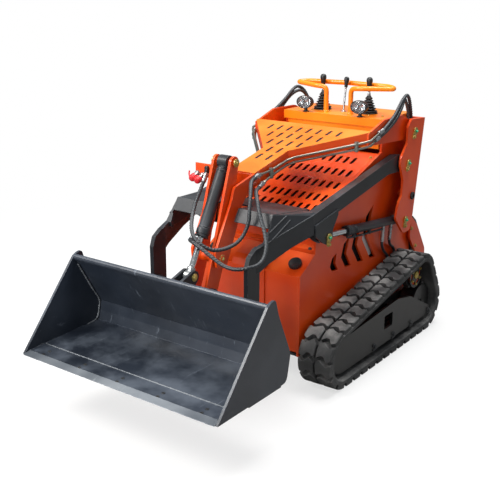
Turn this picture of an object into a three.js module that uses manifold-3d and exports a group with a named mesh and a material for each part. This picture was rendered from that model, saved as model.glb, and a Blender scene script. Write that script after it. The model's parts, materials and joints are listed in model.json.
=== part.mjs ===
// Compact tracked skid steer loader with a self-levelling bucket linkage.
// Millimetres. X is the machine's left, Y points to its rear, Z is up.
// Stations (y) are measured from the bucket's cutting edge, and the whole machine is
// then moved so that the middle of its length is at the origin.

import * as THREE from 'three';
import { ConvexGeometry } from 'three/addons/geometries/ConvexGeometry.js';
import { mergeVertices } from 'three/addons/utils/BufferGeometryUtils.js';
import Module from 'manifold-3d';

const wasm = await Module();
wasm.setup();

// ---------------------------------------------------------------- driving dimensions

const HALF_LENGTH = 1045;       // half of the overall length, cutting edge to rear weight
const GAP = 0.3;                // air between pieces that touch

// Linkage pivots as [station, height]. The boom pin, the link pin and the two pins of
// the front link make an exact parallelogram, which keeps the bucket level.
const BOOM_PIN = [1726, 873];
const LINK_PIN = [1783, 1022];
const LEVEL_PIN = [604, 625];
const BUCKET_PIN = [
  LEVEL_PIN[0] - (LINK_PIN[0] - BOOM_PIN[0]),
  LEVEL_PIN[1] - (LINK_PIN[1] - BOOM_PIN[1]),
];
const TILT_BASE_PIN = [716, 1006];
const TILT_ROD_PIN = [470, 573];
const LIFT_BASE_PIN = [1728, 586];
const LIFT_ROD_PIN = [1012, 665];

// Half widths across the machine.
const BODY_HALF = 274;          // outer face of the side walls
const WALL = 12;                // thickness of heavy plate
const BOOM_IN = 284;            // lift arms run between BOOM_IN and BOOM_OUT
const BOOM_OUT = 324;
const BOOM_MID = (BOOM_IN + BOOM_OUT) / 2;
const TOWER_IN = 330;           // outer plates of the towers
const TOWER_OUT = 342;
const LINK_OUT = 315;           // outer faces of the upper link's side arms
const NECK_HALF = 67;           // half width of the upper link's neck
const FRONT_LINK_HALF = 50;     // outer faces of the front link's plates
const LEG_OUT = 260;            // outer faces of the boom's legs
const LEG_THICK = 20;

// Bucket.
const BUCKET_HALF = 510;
const EDGE_HEIGHT = 264;
const BUCKET_PLATE = 8;
const BUCKET_SIDE = 10;

// Tracks.
const TRACK_IN = 293;
const TRACK_OUT = 459;
const BELT = 45;                // belt and lugs together
const LUG = 20;
const LUG_COUNT = 35;
const FRONT_IDLER = [978, 141];
const REAR_IDLER = [1810, 141];
const IDLER_OUTER = 141;        // radius over the lugs
const SPROCKET = [1745, 305];
const SPROCKET_OUTER = 118;

// Body.
const FRONT = 877;
const BELLY = 135;
const TANK_FRONT_TOP = 509;
const TANK_REAR = 997;
const TANK_REAR_TOP = 581;
const HOOD_FRONT = [1040, 755];
const HOOD_REAR = [1564, 935];
const CONSOLE_FRONT = 1559;
const CONSOLE_REAR = 1872;
const CONSOLE_HALF = 278;
const CONSOLE_TOP = 1100;
const REAR_WALL = 1930;

// ---------------------------------------------------------------- materials

function finish(colour, roughness, metalness) {
  return () => new THREE.MeshStandardMaterial({ color: colour, roughness, metalness });
}
const orange = finish(0xd8430c, 0.38, 0.1);
const amber = finish(0xf0a01c, 0.35, 0.1);
const black = finish(0x26282b, 0.45, 0.3);
const darkGrey = finish(0x33363a, 0.5, 0.3);
const rubber = finish(0x3b3b39, 0.9, 0);
const steel = finish(0x9aa0a4, 0.35, 0.9);
const chrome = finish(0xd6d9db, 0.12, 1);
const iron = finish(0x55585a, 0.6, 0.6);

// ---------------------------------------------------------------- shape helpers

/** Turns a closed three.js geometry into a solid that can be joined and cut. */
function solid(geometry) {
  const bare = geometry.clone();
  bare.deleteAttribute('normal');
  bare.deleteAttribute('uv');
  const merged = mergeVertices(bare, 1e-3);
  return new wasm.Manifold(new wasm.Mesh({
    numProp: 3,
    vertProperties: Float32Array.from(merged.attributes.position.array),
    triVerts: Uint32Array.from(merged.index.array),
  }));
}

/** Turns a solid back into a three.js geometry. */
function geometryOf(body) {
  const mesh = body.getMesh();
  const geometry = new THREE.BufferGeometry();
  geometry.setAttribute('position', new THREE.BufferAttribute(mesh.vertProperties, 3));
  geometry.setIndex(new THREE.BufferAttribute(mesh.triVerts, 1));
  geometry.computeVertexNormals();
  return geometry;
}

/** Joins any number of solids. */
function join(...bodies) {
  return bodies.reduce((whole, body) => whole.add(body));
}

/** Cuts the later solids out of the first. */
function cut(body, ...tools) {
  return tools.reduce((whole, tool) => whole.subtract(tool), body);
}

/** A closed outline from [a, b] or [a, b, cornerRadius] points. */
function outline(points) {
  const shape = new THREE.Shape();
  points.forEach((point, i) => {
    const here = new THREE.Vector2(point[0], point[1]);
    const radius = point[2] ?? 0;
    if (radius === 0) {
      if (i === 0) shape.moveTo(here.x, here.y);
      else shape.lineTo(here.x, here.y);
      return;
    }
    const before = points[(i + points.length - 1) % points.length];
    const after = points[(i + 1) % points.length];
    const back = new THREE.Vector2(before[0], before[1]).sub(here).normalize();
    const ahead = new THREE.Vector2(after[0], after[1]).sub(here).normalize();
    const reach = radius / Math.tan(Math.acos(back.dot(ahead)) / 2);
    const start = here.clone().addScaledVector(back, reach);
    const end = here.clone().addScaledVector(ahead, reach);
    if (i === 0) shape.moveTo(start.x, start.y);
    else shape.lineTo(start.x, start.y);
    shape.quadraticCurveTo(here.x, here.y, end.x, end.y);
  });
  shape.closePath();
  return shape;
}

/** The outline of a belt round two or three circles [a, b, r]. */
function belt(given, stepDegrees = 15) {
  const turn = THREE.ShapeUtils.area(given.map(([a, b]) => new THREE.Vector2(a, b)));
  const circles = turn < 0 ? [...given].reverse() : given;
  const normals = circles.map(([a, b, r], i) => {
    const [na, nb, nr] = circles[(i + 1) % circles.length];
    const along = Math.atan2(nb - b, na - a);
    const lean = Math.asin((r - nr) / Math.hypot(na - a, nb - b));
    return along - Math.PI / 2 + lean;
  });
  const points = [];
  circles.forEach(([a, b, r], i) => {
    const from = normals[(i + circles.length - 1) % circles.length];
    let to = normals[i];
    while (to < from) to += 2 * Math.PI;
    const steps = Math.max(1, Math.ceil((to - from) / THREE.MathUtils.degToRad(stepDegrees)));
    for (let s = 0; s <= steps; s += 1) {
      const angle = from + ((to - from) * s) / steps;
      points.push([a + r * Math.cos(angle), b + r * Math.sin(angle)]);
    }
  });
  return points;
}

const SIDEWAYS = new THREE.Matrix4().makeBasis(
  new THREE.Vector3(0, 1, 0), new THREE.Vector3(0, 0, 1), new THREE.Vector3(1, 0, 0));

/** A plate whose outline is drawn in station and height, between two values of x. */
function plate(shape, x0, x1, curveSegments = 3) {
  const depth = Math.abs(x1 - x0);
  const geometry = new THREE.ExtrudeGeometry(shape, { depth, bevelEnabled: false, curveSegments });
  geometry.applyMatrix4(SIDEWAYS);
  geometry.translate(Math.min(x0, x1), 0, 0);
  return solid(geometry);
}

/** A plate whose outline is drawn in x and y, between two heights. */
function slab(shape, z0, z1, curveSegments = 3) {
  const depth = z1 - z0;
  const geometry = new THREE.ExtrudeGeometry(shape, { depth, bevelEnabled: false, curveSegments });
  geometry.translate(0, 0, z0);
  return solid(geometry);
}

/** A box between two corners. */
function box(x0, x1, y0, y1, z0, z1) {
  const geometry = new THREE.BoxGeometry(Math.abs(x1 - x0), y1 - y0, z1 - z0);
  geometry.translate((x0 + x1) / 2, (y0 + y1) / 2, (z0 + z1) / 2);
  return solid(geometry);
}

/** A round bar between two points. */
function bar(from, to, radius, sides = 12) {
  const a = new THREE.Vector3(...from);
  const b = new THREE.Vector3(...to);
  const geometry = new THREE.CylinderGeometry(radius, radius, a.distanceTo(b), sides);
  geometry.translate(0, a.distanceTo(b) / 2, 0);
  const turn = new THREE.Quaternion().setFromUnitVectors(
    new THREE.Vector3(0, 1, 0), b.clone().sub(a).normalize());
  geometry.applyQuaternion(turn);
  geometry.translate(a.x, a.y, a.z);
  return solid(geometry);
}

/** A round bar across the machine at a [station, height]. */
function crossBar(at, x0, x1, radius, sides = 12) {
  return bar([Math.min(x0, x1), ...at], [Math.max(x0, x1), ...at], radius, sides);
}

/** A tube bent through a list of points. */
function bentTube(points, radius, sides, steps) {
  const path = new THREE.CatmullRomCurve3(points.map((p) => new THREE.Vector3(...p)), false, 'centripetal');
  const ring = new THREE.Shape();
  for (let i = 0; i < sides; i += 1) {
    const angle = (2 * Math.PI * i) / sides;
    const [a, b] = [radius * Math.cos(angle), radius * Math.sin(angle)];
    if (i === 0) ring.moveTo(a, b);
    else ring.lineTo(a, b);
  }
  ring.closePath();
  return new THREE.ExtrudeGeometry(ring, { steps, extrudePath: path, bevelEnabled: false });
}

/** A sheet of one thickness that follows [station, height] points, folded at each. */
function foldedSheet(points, thickness, x0, x1) {
  const offset = points.map((point, i) => {
    const before = points[Math.max(i - 1, 0)];
    const after = points[Math.min(i + 1, points.length - 1)];
    const first = Math.atan2(point[1] - before[1], point[0] - before[0]);
    const second = Math.atan2(after[1] - point[1], after[0] - point[0]);
    const a = i === 0 ? second : first;
    const b = i === points.length - 1 ? first : second;
    const middle = (a + b) / 2 - Math.PI / 2;
    const reach = thickness / Math.cos((b - a) / 2);
    return [point[0] + reach * Math.cos(middle), point[1] + reach * Math.sin(middle)];
  });
  return plate(outline([...points, ...offset.reverse()]), x0, x1);
}

const machine = new THREE.Group();
machine.position.set(0, -HALF_LENGTH, 0);

/** Adds one named piece to the machine. */
function piece(name, shape, material) {
  const geometry = shape instanceof THREE.BufferGeometry ? shape : geometryOf(shape);
  const mesh = new THREE.Mesh(geometry, material());
  mesh.name = name;
  machine.add(mesh);
}

/** Builds a piece on each side; side is +1 on the machine's left and -1 on its right. */
function bothSides(name, build, material) {
  piece(`${name}_left`, build(1), material);
  piece(`${name}_right`, build(-1), material);
}

// ---------------------------------------------------------------- body

function sideWall(side) {
  const wall = outline([
    [FRONT, BELLY], [FRONT, TANK_FRONT_TOP], [TANK_REAR, TANK_REAR_TOP], [1011, 748], [1574, 941],
    [1574, CONSOLE_TOP - 6], [CONSOLE_REAR - 12, CONSOLE_TOP - 6],
    [REAR_WALL, 560], [REAR_WALL, BELLY + 40, 20], [REAR_WALL - 30, BELLY],
  ]);
  // Arrow-shaped vents: each one further back is taller than the one before.
  const vents = [0, 1, 2, 3].map((i) => {
    const elbow = [1124 + 97 * i, 488 + 20 * i];
    const foot = [1146 + 119 * i, 460 - 10 * i];
    const tip = [1184 + 111 * i, 540 + 53 * i];
    const shoulder = [elbow[0] + 0.33 * (tip[0] - elbow[0]), elbow[1] + 0.7 * (tip[1] - elbow[1])];
    return plate(outline([
      elbow, foot, [foot[0] + 52, foot[1] - 4], [elbow[0] + 48, elbow[1] + 5], tip, shoulder,
    ]), side * (BODY_HALF - WALL - 5), side * (BODY_HALF + 5));
  });
  return cut(plate(wall, side * (BODY_HALF - WALL), side * BODY_HALF), ...vents);
}

function tower(side) {
  const outer = outline([
    [1740, 1084, 20], [1886, 1076], [1806, 584], [1786, 520, 34], [1712, 520, 40],
    [1622, 614, 22], [1650, 690, 40], [1678, 720, 30], [1684, 795, 30], [1646, 872, 30],
    [1652, 912, 30], [1708, 970, 30], [1708, 1050, 30],
  ]);
  const skin = plate(outer, side * TOWER_IN, side * TOWER_OUT);
  const back = plate(outline([
    [1886, 1076], [1806, 584], [1798, 584], [1878, 1076],
  ]), side * (BODY_HALF + GAP), side * (TOWER_IN + 1));
  const capLip = plate(outline([
    [1752, 1084], [1884, 1076], [1884, 1066], [1752, 1074],
  ]), side * (TOWER_IN - 10), side * (TOWER_IN + 1));
  const capRear = plate(outline([
    [1858, 1077.6], [1884, 1076], [1884, 1066], [1858, 1067.6],
  ]), side * (CONSOLE_HALF + GAP), side * (TOWER_IN + 1));
  const pins = [[BOOM_PIN, 14], [LINK_PIN, 14], [LIFT_BASE_PIN, 12]].map(([at, radius]) =>
    crossBar(at, side * (BODY_HALF + GAP), side * (TOWER_OUT + 6), radius));
  const tie = crossBar([1786, 698], side * (BODY_HALF + GAP), side * (TOWER_IN + 1), 20);
  return join(skin, back, capLip, capRear, tie, ...pins);
}

function rearSkirt(side) {
  return plate(outline([
    [1893, 558], [1960, 505, 60], [2034, 400, 60], [2072, 345, 40], [2078, 200, 30],
    [2040, 165], [1975, 165], [1975, 330, 40], [1880, 450, 40],
  ]), side * (BODY_HALF + 14), side * (BODY_HALF + 26));
}

function tank(side) {
  const [inner, outer, skin] = [90, BODY_HALF - WALL - GAP, 5];
  const shell = plate(outline([
    [FRONT, BELLY + 20], [FRONT, TANK_FRONT_TOP - 2], [TANK_REAR, TANK_REAR_TOP - 2],
    [TANK_REAR, BELLY + 20],
  ]), side * inner, side * outer);
  const hollow = plate(outline([
    [FRONT + skin, BELLY], [FRONT + skin, TANK_FRONT_TOP - 2 - skin],
    [TANK_REAR - skin, TANK_REAR_TOP - 2 - skin], [TANK_REAR - skin, BELLY],
  ]), side * (inner + skin), side * (outer - skin));
  return cut(shell, hollow);
}

function frontCover() {
  return foldedSheet([
    [FRONT - 6, BELLY + 20], [FRONT - 6, 505], [FRONT + 6, 532], [FRONT + 28, 550],
    [FRONT + 60, 562], [TANK_REAR - 4, 588],
  ], 6, -(90 - GAP), 90 - GAP);
}

function bulkhead() {
  const inner = BODY_HALF - WALL - GAP;
  const panel = foldedSheet([
    [TANK_REAR + 3, 440], [TANK_REAR + 3, 597], [HOOD_FRONT[0] - 4, 604],
    [HOOD_FRONT[0] + 2, HOOD_FRONT[1] - 10],
  ], BUCKET_PLATE, -inner, inner);
  return cut(panel, box(-8, 44, TANK_REAR + 10, TANK_REAR + 60, 640, 692));
}

function hood() {
  return foldedSheet([
    HOOD_FRONT, [HOOD_REAR[0], HOOD_REAR[1]],
  ], 5, -(BODY_HALF - WALL - 4), BODY_HALF - WALL - 4);
}

function bellyPan() {
  return box(-(BODY_HALF - WALL - GAP), BODY_HALF - WALL - GAP, FRONT + 4, REAR_WALL - 34,
    BELLY, BELLY + 10);
}

function consoleBox() {
  const deck = box(-CONSOLE_HALF, CONSOLE_HALF, CONSOLE_FRONT, CONSOLE_REAR, CONSOLE_TOP - 40, CONSOLE_TOP);
  const inside = box(-CONSOLE_HALF + 3, CONSOLE_HALF - 3, CONSOLE_FRONT + 5, CONSOLE_REAR - 5,
    CONSOLE_TOP - 60, CONSOLE_TOP - 5);
  const inner = BODY_HALF - WALL - 4;
  const apron = box(-inner, inner, CONSOLE_FRONT + 10, CONSOLE_FRONT + 15, 955, CONSOLE_TOP - 3);
  return join(cut(deck, inside), apron);
}

function rearDoor() {
  const half = BODY_HALF - WALL - 8;
  return plate(outline([
    [CONSOLE_REAR - 8, CONSOLE_TOP - 55], [REAR_WALL - 3, 570],
    [REAR_WALL + 5, 570], [CONSOLE_REAR, CONSOLE_TOP - 55],
  ]), -half, half);
}

function rearWeight() {
  return plate(outline([
    [REAR_WALL + GAP, 175], [REAR_WALL + GAP, 552], [1972, 520, 30], [2050, 400, 40], [2090, 340, 30],
    [2090, 200, 30], [2060, 175],
  ]), -(BODY_HALF + 14 - GAP), BODY_HALF + 14 - GAP);
}

function engine() {
  return box(-170, 170, 1380, 1780, 400, 760);
}

function handlebar() {
  const path = [[69, 1621, 1085], [69, 1621, 1180], [84, 1612, 1216], [111, 1608, 1226],
    [180, 1625, 1228], [240, 1652, 1229], [266, 1680, 1229], [250, 1708, 1231],
    [213, 1716, 1233], [120, 1724, 1235], [0, 1726, 1236]];
  const mirrored = path.slice(0, -1).reverse().map(([x, y, z]) => [-x, y, z]);
  const tube = solid(bentTube([...path, ...mirrored], 12, 8, 44));
  return cut(tube, box(-120, 120, 1580, 1660, 1060, CONSOLE_TOP + GAP));
}

function headlight(side) {
  const centre = [side * 153, 1565, 1148];
  const shell = new THREE.SphereGeometry(1, 14, 8);
  shell.scale(38, 26, 33);
  shell.translate(centre[0], centre[1] + 8, centre[2]);
  const lamp = cut(solid(shell), box(centre[0] - 60, centre[0] + 60, 1500, centre[1] - 6, 1080, 1220));
  const foot = box(centre[0] - 12, centre[0] + 12, centre[1] + 2, centre[1] + 14, CONSOLE_TOP + GAP, 1130);
  return join(lamp, foot);
}

function joystick(side) {
  const base = [side * 131, 1690, CONSOLE_TOP + GAP];
  const profile = [[0, 0], [46, 0], [46, 10], [34, 22], [36, 30], [26, 40], [28, 48], [18, 58],
    [18, 76], [9, 86], [9, 120], [14, 126], [16, 150], [12, 172], [0, 176]];
  const lathe = new THREE.LatheGeometry(profile.map(([r, z]) => new THREE.Vector2(r, z)), 12);
  lathe.rotateX(Math.PI / 2);
  lathe.translate(...base);
  return lathe;
}

function centreLever() {
  const foot = [0, 1672, CONSOLE_TOP + 4 * GAP];
  const top = [2, 1690, 1238];
  return join(bar(foot, top, 5, 10), bar([2, 1688, 1216], [3, 1692, 1268], 11, 12));
}

bothSides('side_wall', sideWall, orange);
bothSides('tower', tower, orange);
bothSides('rear_skirt', rearSkirt, orange);
bothSides('tank', tank, orange);
piece('front_cover', frontCover(), orange);
piece('bulkhead', bulkhead(), orange);
piece('engine_hood', hood(), orange);
piece('belly_pan', bellyPan(), black);
piece('console', consoleBox(), amber);
piece('rear_door', rearDoor(), orange);
piece('rear_weight', rearWeight(), black);
piece('engine', engine(), iron);
piece('handlebar', handlebar(), amber);
bothSides('headlight', headlight, darkGrey);
bothSides('joystick', joystick, black);
piece('centre_lever', centreLever(), steel);

// ---------------------------------------------------------------- tracks

const loopCircles = (inset) => [
  [...FRONT_IDLER, IDLER_OUTER - inset], [...REAR_IDLER, IDLER_OUTER - inset],
  [...SPROCKET, SPROCKET_OUTER - inset],
];

/** Walks a closed polyline and returns points at equal distances with their directions. */
function walk(points, count) {
  const closed = [...points, points[0]].map(([a, b]) => new THREE.Vector2(a, b));
  const spans = closed.slice(1).map((p, i) => p.distanceTo(closed[i]));
  const pitch = spans.reduce((sum, span) => sum + span, 0) / count;
  const marks = [];
  let travelled = 0;
  let next = pitch / 2;
  spans.forEach((span, i) => {
    const ahead = closed[i + 1].clone().sub(closed[i]).normalize();
    while (next < travelled + span && marks.length < count) {
      marks.push({ at: closed[i].clone().addScaledVector(ahead, next - travelled), ahead });
      next += pitch;
    }
    travelled += span;
  });
  return marks;
}

function track(side) {
  const body = plate(outline(belt(loopCircles(LUG), 12)), side * TRACK_IN, side * TRACK_OUT);
  const hollow = plate(outline(belt(loopCircles(BELT), 12)),
    side * (TRACK_IN - 5), side * (TRACK_OUT + 5));
  const lugs = walk(belt(loopCircles(LUG + 4), 4), LUG_COUNT).map(({ at, ahead }) => {
    const out = new THREE.Vector2(ahead.y, -ahead.x);
    const corner = (along, up) => {
      const p = at.clone().addScaledVector(ahead, along).addScaledVector(out, up);
      return [p.x, p.y];
    };
    const height = LUG + 4;
    return plate(outline([corner(-19, 0), corner(19, 0), corner(13, height), corner(-13, height)]),
      side * TRACK_IN, side * TRACK_OUT);
  });
  const aboveGround = box(side * (TRACK_IN - 5), side * (TRACK_OUT + 5), 500, 2200, 0, 600);
  return join(cut(body, hollow), ...lugs).intersect(aboveGround);
}

function trackFrame(side) {
  const skirt = belt([[978, 146, 80], [1862, 90, 21], [1632, 205, 24], [1500, 225, 30]], 20);
  const window = outline([[1369, 139, 8], [1453, 139, 8], [1453, 207, 8], [1369, 207, 8]]);
  const outer = cut(plate(outline(skirt), side * 425, side * 437),
    plate(window, side * 420, side * 440));
  const inner = plate(outline(belt([[...FRONT_IDLER, 60], [...REAR_IDLER, 60]], 20)),
    side * 315, side * 327);
  const beams = [1160, 1580].map((y) =>
    box(side * (BODY_HALF + GAP), side * 426, y, y + 70, 145, 183));
  return join(outer, inner, ...beams);
}

function rollers(side) {
  const belly = IDLER_OUTER - BELT - 1;
  const wheels = [FRONT_IDLER, REAR_IDLER].map((at) => crossBar(at, side * 338, side * 414, belly, 20));
  const small = [1140, 1260, 1380, 1500, 1640].map((y) =>
    crossBar([y, BELT + 45], side * 338, side * 414, 44));
  const axles = [FRONT_IDLER[0], 1140, 1380, 1640, REAR_IDLER[0]].map((y, i) =>
    crossBar([y, i === 0 || i === 4 ? FRONT_IDLER[1] : BELT + 45],
      side * (327 + GAP), side * (425 - GAP), 14, 12));
  const spine = box(side * 366, side * 386, FRONT_IDLER[0], REAR_IDLER[0], 92, 140);
  return join(...wheels, ...small, ...axles, spine);
}

function sprocket(side) {
  const teeth = 11;
  const root = 62;
  const tip = 71;
  const points = [];
  for (let i = 0; i < teeth; i += 1) {
    [[0.1, root], [0.32, tip], [0.68, tip], [0.9, root]].forEach(([part, radius]) => {
      const angle = ((i + part) / teeth) * 2 * Math.PI;
      points.push([SPROCKET[0] + radius * Math.cos(angle), SPROCKET[1] + radius * Math.sin(angle)]);
    });
  }
  const disc = plate(outline(points), side * 362, side * 390);
  const hub = crossBar(SPROCKET, side * 345, side * 402, 44, 20);
  const motor = crossBar(SPROCKET, side * (BODY_HALF + GAP), side * 350, 38, 20);
  return join(disc, hub, motor);
}

bothSides('track', track, rubber);
bothSides('track_frame', trackFrame, darkGrey);
bothSides('track_rollers', rollers, darkGrey);
bothSides('drive_sprocket', sprocket, iron);

// ---------------------------------------------------------------- lift arms

const KNEE_FRONT = 574;         // station where the arm's front plate starts to spread
const BEAM_FRONT = 896;         // station where it meets the beam
const SPREAD = (BOOM_OUT - LEG_OUT) / (BEAM_FRONT - KNEE_FRONT);
const BRIDGE_HALF = 252.7;

/** Mirrors a solid to the side that is asked for. */
function onSide(body, side) {
  return side > 0 ? body : body.mirror([1, 0, 0]);
}

/** The arm's front plate, which runs outward from the leg to the beam. */
function spreadPlate() {
  const shape = outline([
    [KNEE_FRONT, 706], [BEAM_FRONT, 788], [BEAM_FRONT + 6, 702], [768, 673], [636, 629], [594, 606],
    [KNEE_FRONT, 606],
  ]);
  const geometry = new THREE.ExtrudeGeometry(shape, { depth: LEG_THICK, bevelEnabled: false });
  geometry.applyMatrix4(SIDEWAYS);
  geometry.translate(LEG_OUT - LEG_THICK - KNEE_FRONT * SPREAD, 0, 0);
  geometry.applyMatrix4(new THREE.Matrix4().makeShear(0, 0, SPREAD, 0, 0, 0));
  return solid(geometry);
}

/** The heavy gusset between the leg, the bridge and the beam. */
function knuckle() {
  const corners = [
    [253, 700, 820], [253, 940, 790], [320, 896, 786], [320, 930, 793], [270, 638, 722],
    [246, 644, 722], [246, 650, 694], [262, 812, 735], [253, 940, 760], [300, 940, 760],
  ].map((p) => new THREE.Vector3(...p));
  const besideBridge = box(0, BRIDGE_HALF + GAP, 664, 1000, 600, 900);
  return cut(solid(new ConvexGeometry(corners)), besideBridge);
}

function liftArm(side) {
  const beam = plate(outline([
    [900, 722], [896, 788], [1640, 923], [1718, 912, 20], [1764, 873, 30], [1735, 836, 20], [1561, 843],
  ]), BOOM_IN, BOOM_OUT);
  const boss = crossBar(BOOM_PIN, 280, 327, 34, 20);
  const leg = plate(outline([
    [536, 681], [KNEE_FRONT, 706], [596, 712], [601, 640], [599, 476], [560, 440, 20],
    [520, 440, 20], [520, 640],
  ]), LEG_OUT - LEG_THICK, LEG_OUT);
  const lugs = [[BOOM_IN - 5, BOOM_IN + 3], [BOOM_OUT - 3, BOOM_OUT + 6]].map(([a, b]) =>
    plate(outline([
      [905, 740], [1090, 774], [1090, 750], [1046, 690, 20], [1046, 650, 20], [1012, 628, 30],
      [968, 650, 20], [912, 688],
    ]), a, b));
  const kneeHole = plate(outline(belt([[545, 712, 5], [548, 694, 5]], 30)), 200, 300);
  const arm = cut(join(beam, boss, leg, spreadPlate(), knuckle(), ...lugs),
    crossBar(BOOM_PIN, 270, 340, 15, 20), crossBar(BUCKET_PIN, 230, 270, 15, 20), kneeHole);
  return onSide(arm, side);
}

function boomBridge() {
  const sheet = foldedSheet([[670, 771], [700, 822], [977, 786]], 8, -BRIDGE_HALF, BRIDGE_HALF);
  const room = NECK_HALF + WALL;
  return cut(sheet, box(-room, room, 600, 812, 600, 900));
}

bothSides('lift_arm', liftArm, black);
piece('boom_bridge', boomBridge(), black);

// ---------------------------------------------------------------- upper link and front link

function upperLink() {
  const [neckFront, neckRear, wideRear] = [832, 1081, 1371];
  const plan = (inset, rear) => outline([
    [NECK_HALF - inset, neckFront], [NECK_HALF - inset, neckRear], [LINK_OUT - inset, wideRear],
    [LINK_OUT - inset, rear], [-(LINK_OUT - inset), rear], [-(LINK_OUT - inset), wideRear],
    [-(NECK_HALF - inset), neckRear], [-(NECK_HALF - inset), neckFront],
  ]);
  const slope = (z0, z1) => plate(outline([
    [neckFront - 5, z0], [wideRear + 60, z0 + 138], [wideRear + 60, z1 + 138], [neckFront - 5, z1],
  ]), -400, 400);
  const top = slab(plan(0, wideRear + 16), 700, 1300).intersect(slope(889, 941));
  const below = slab(plan(WALL, wideRear + 30), 700, 1300).intersect(slope(800, 935));
  const cheek = (side) => plate(outline([
    [wideRear - 9, 1006], [wideRear - 9, 1062], [1510, 1108, 30], [1700, 1106, 60],
    [1790, 1068, 30], [1826, 1022, 30], [1783, 978, 30], [1640, 990, 60],
  ]), side * (LINK_OUT - WALL), side * LINK_OUT);
  const boss = (side) => crossBar(LINK_PIN, side * (BOOM_IN - 3), side * (TOWER_IN - 3), 32, 20);
  const drop = (side) => plate(outline([
    [950, 915], [950, 968], [827, 941], [692, 908, 14], [676, 863, 20], [563, 660, 20], [570, 588, 20],
    [628, 584, 20], [643, 604], [715, 757], [731, 812, 20], [779, 862, 20], [836, 886],
  ]), side * (NECK_HALF - WALL), side * NECK_HALF);
  const cuts = [1, -1].flatMap((side) => [
    crossBar(LINK_PIN, side * 270, side * 345, 15, 20), crossBar(LEVEL_PIN, side * 45, side * 80, 15, 20)]);
  const nose = plate(outline([[829, 840], [829, 938], [837, 938], [837, 840]]),
    -NECK_HALF + 2, NECK_HALF - 2);
  const body = join(cut(top, below), cheek(1), cheek(-1), boss(1), boss(-1), drop(1), drop(-1), nose);
  return cut(body, ...cuts);
}

function frontLink() {
  const side = (s) => plate(outline(belt([
    [...BUCKET_PIN, 38], [...LEVEL_PIN, 42], [...TILT_BASE_PIN, 27],
  ], 18)), s * (FRONT_LINK_HALF - WALL), s * FRONT_LINK_HALF);
  const levelTube = crossBar(LEVEL_PIN, -(FRONT_LINK_HALF - WALL), FRONT_LINK_HALF - WALL, 24, 20);
  const bucketTube = crossBar(BUCKET_PIN, -(FRONT_LINK_HALF - WALL), FRONT_LINK_HALF - WALL, 26, 20);
  const levelPin = crossBar(LEVEL_PIN, -(NECK_HALF + 6), NECK_HALF + 6, 14, 16);
  const topPin = crossBar(TILT_BASE_PIN, -(FRONT_LINK_HALF + 8), FRONT_LINK_HALF + 8, 12, 16);
  return cut(join(side(1), side(-1), levelTube, bucketTube, levelPin, topPin),
    crossBar(BUCKET_PIN, -80, 80, 15, 20));
}

/** Two steel pipes and their clamps on one side of the upper link. */
function steelPipes(side) {
  const [pipe, collar, clampRadius] = [5.5, 9, 10];
  const upper = [[82, 835, 935], [82, 932, 942], [82, 1050, 965], [96, 1088, 974], [308, 1332, 1026],
    [327, 1362, 1033], [327, 1446, 1058]];
  const lower = [[82, 865, 894], [82, 932, 918], [82, 1050, 944], [96, 1088, 953], [308, 1332, 1003],
    [327, 1362, 1010], [327, 1410, 1030]];
  const run = (points) => join(...points.slice(1).map((to, i) => bar(points[i], to, pipe, 8)),
    ...points.slice(1, -1).map((at) => bar([at[0], at[1], at[2] - 4], [at[0], at[1], at[2] + 4], pipe, 8)),
    bar(points[0], points[1].map((v, i) => points[0][i] + (v - points[0][i]) * 0.25), collar, 6));
  const clamps = [[82, 932, 908, 952], [283, 1310, 986, 1032]].map(([x, y, z0, z1]) =>
    bar([x, y, z0], [x, y, z1], clampRadius, 8));
  return onSide(join(run(upper), run(lower), ...clamps), side);
}

/** The two auxiliary quick couplers, with their caps, on the right of the front link. */
function auxCouplers() {
  const bracket = join(box(-146, -72, 698, 706, 930, 988),
    box(-80, -(FRONT_LINK_HALF + GAP), 698, 706, 968, 988));
  const coupler = (x, drop) => join(
    bar([x, 728, 955 - drop], [x, 668, 931 - drop], 11, 12),
    bar([x, 672, 932 - drop], [x, 652, 924 - drop], 15, 12));
  const stem = bar([-82, 690, 949], [-82, 700, 980], 10, 8);
  const tee = join(stem, bar([-82, 699, 973], [-82, 730, 977], 9, 8));
  return join(bracket, coupler(-135, 0), coupler(-108, 6), tee);
}

piece('upper_link', upperLink(), orange);
piece('front_link', frontLink(), orange);
bothSides('steel_pipes', steelPipes, steel);
piece('aux_couplers', auxCouplers(), steel);

// ---------------------------------------------------------------- hydraulic cylinders

/** Points from one pin towards another, at distances along that line. */
function along(from, to, distance) {
  const length = Math.hypot(to[0] - from[0], to[1] - from[1]);
  return [0, 1].map((i) => from[i] + ((to[i] - from[i]) * distance) / length);
}

function barrel(x, from, to, { length, radius, bore, eye, eyeHalf, pin }) {
  const at = (d) => [x, ...along(from, to, d)];
  const gland = bar(at(length - 34), at(length), radius + 4, 16);
  const outer = join(bar(at(eye - 4), at(length), radius, 16), gland);
  const lug = crossBar(from, x - eyeHalf, x + eyeHalf, eye, 16);
  const pinHole = crossBar(from, x - 60, x + 60, pin + 1);
  return cut(join(outer, lug), bar(at(eye + 14), at(length + 5), bore, 16), pinHole);
}

function rod(x, from, to, { start, radius, eye, eyeHalf }) {
  const reach = Math.hypot(to[0] - from[0], to[1] - from[1]);
  const at = (d) => [x, ...along(from, to, d)];
  const shaft = bar(at(start), at(reach - eye + 6), radius, 16);
  return join(shaft, crossBar(to, x - eyeHalf, x + eyeHalf, eye, 16));
}

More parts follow.
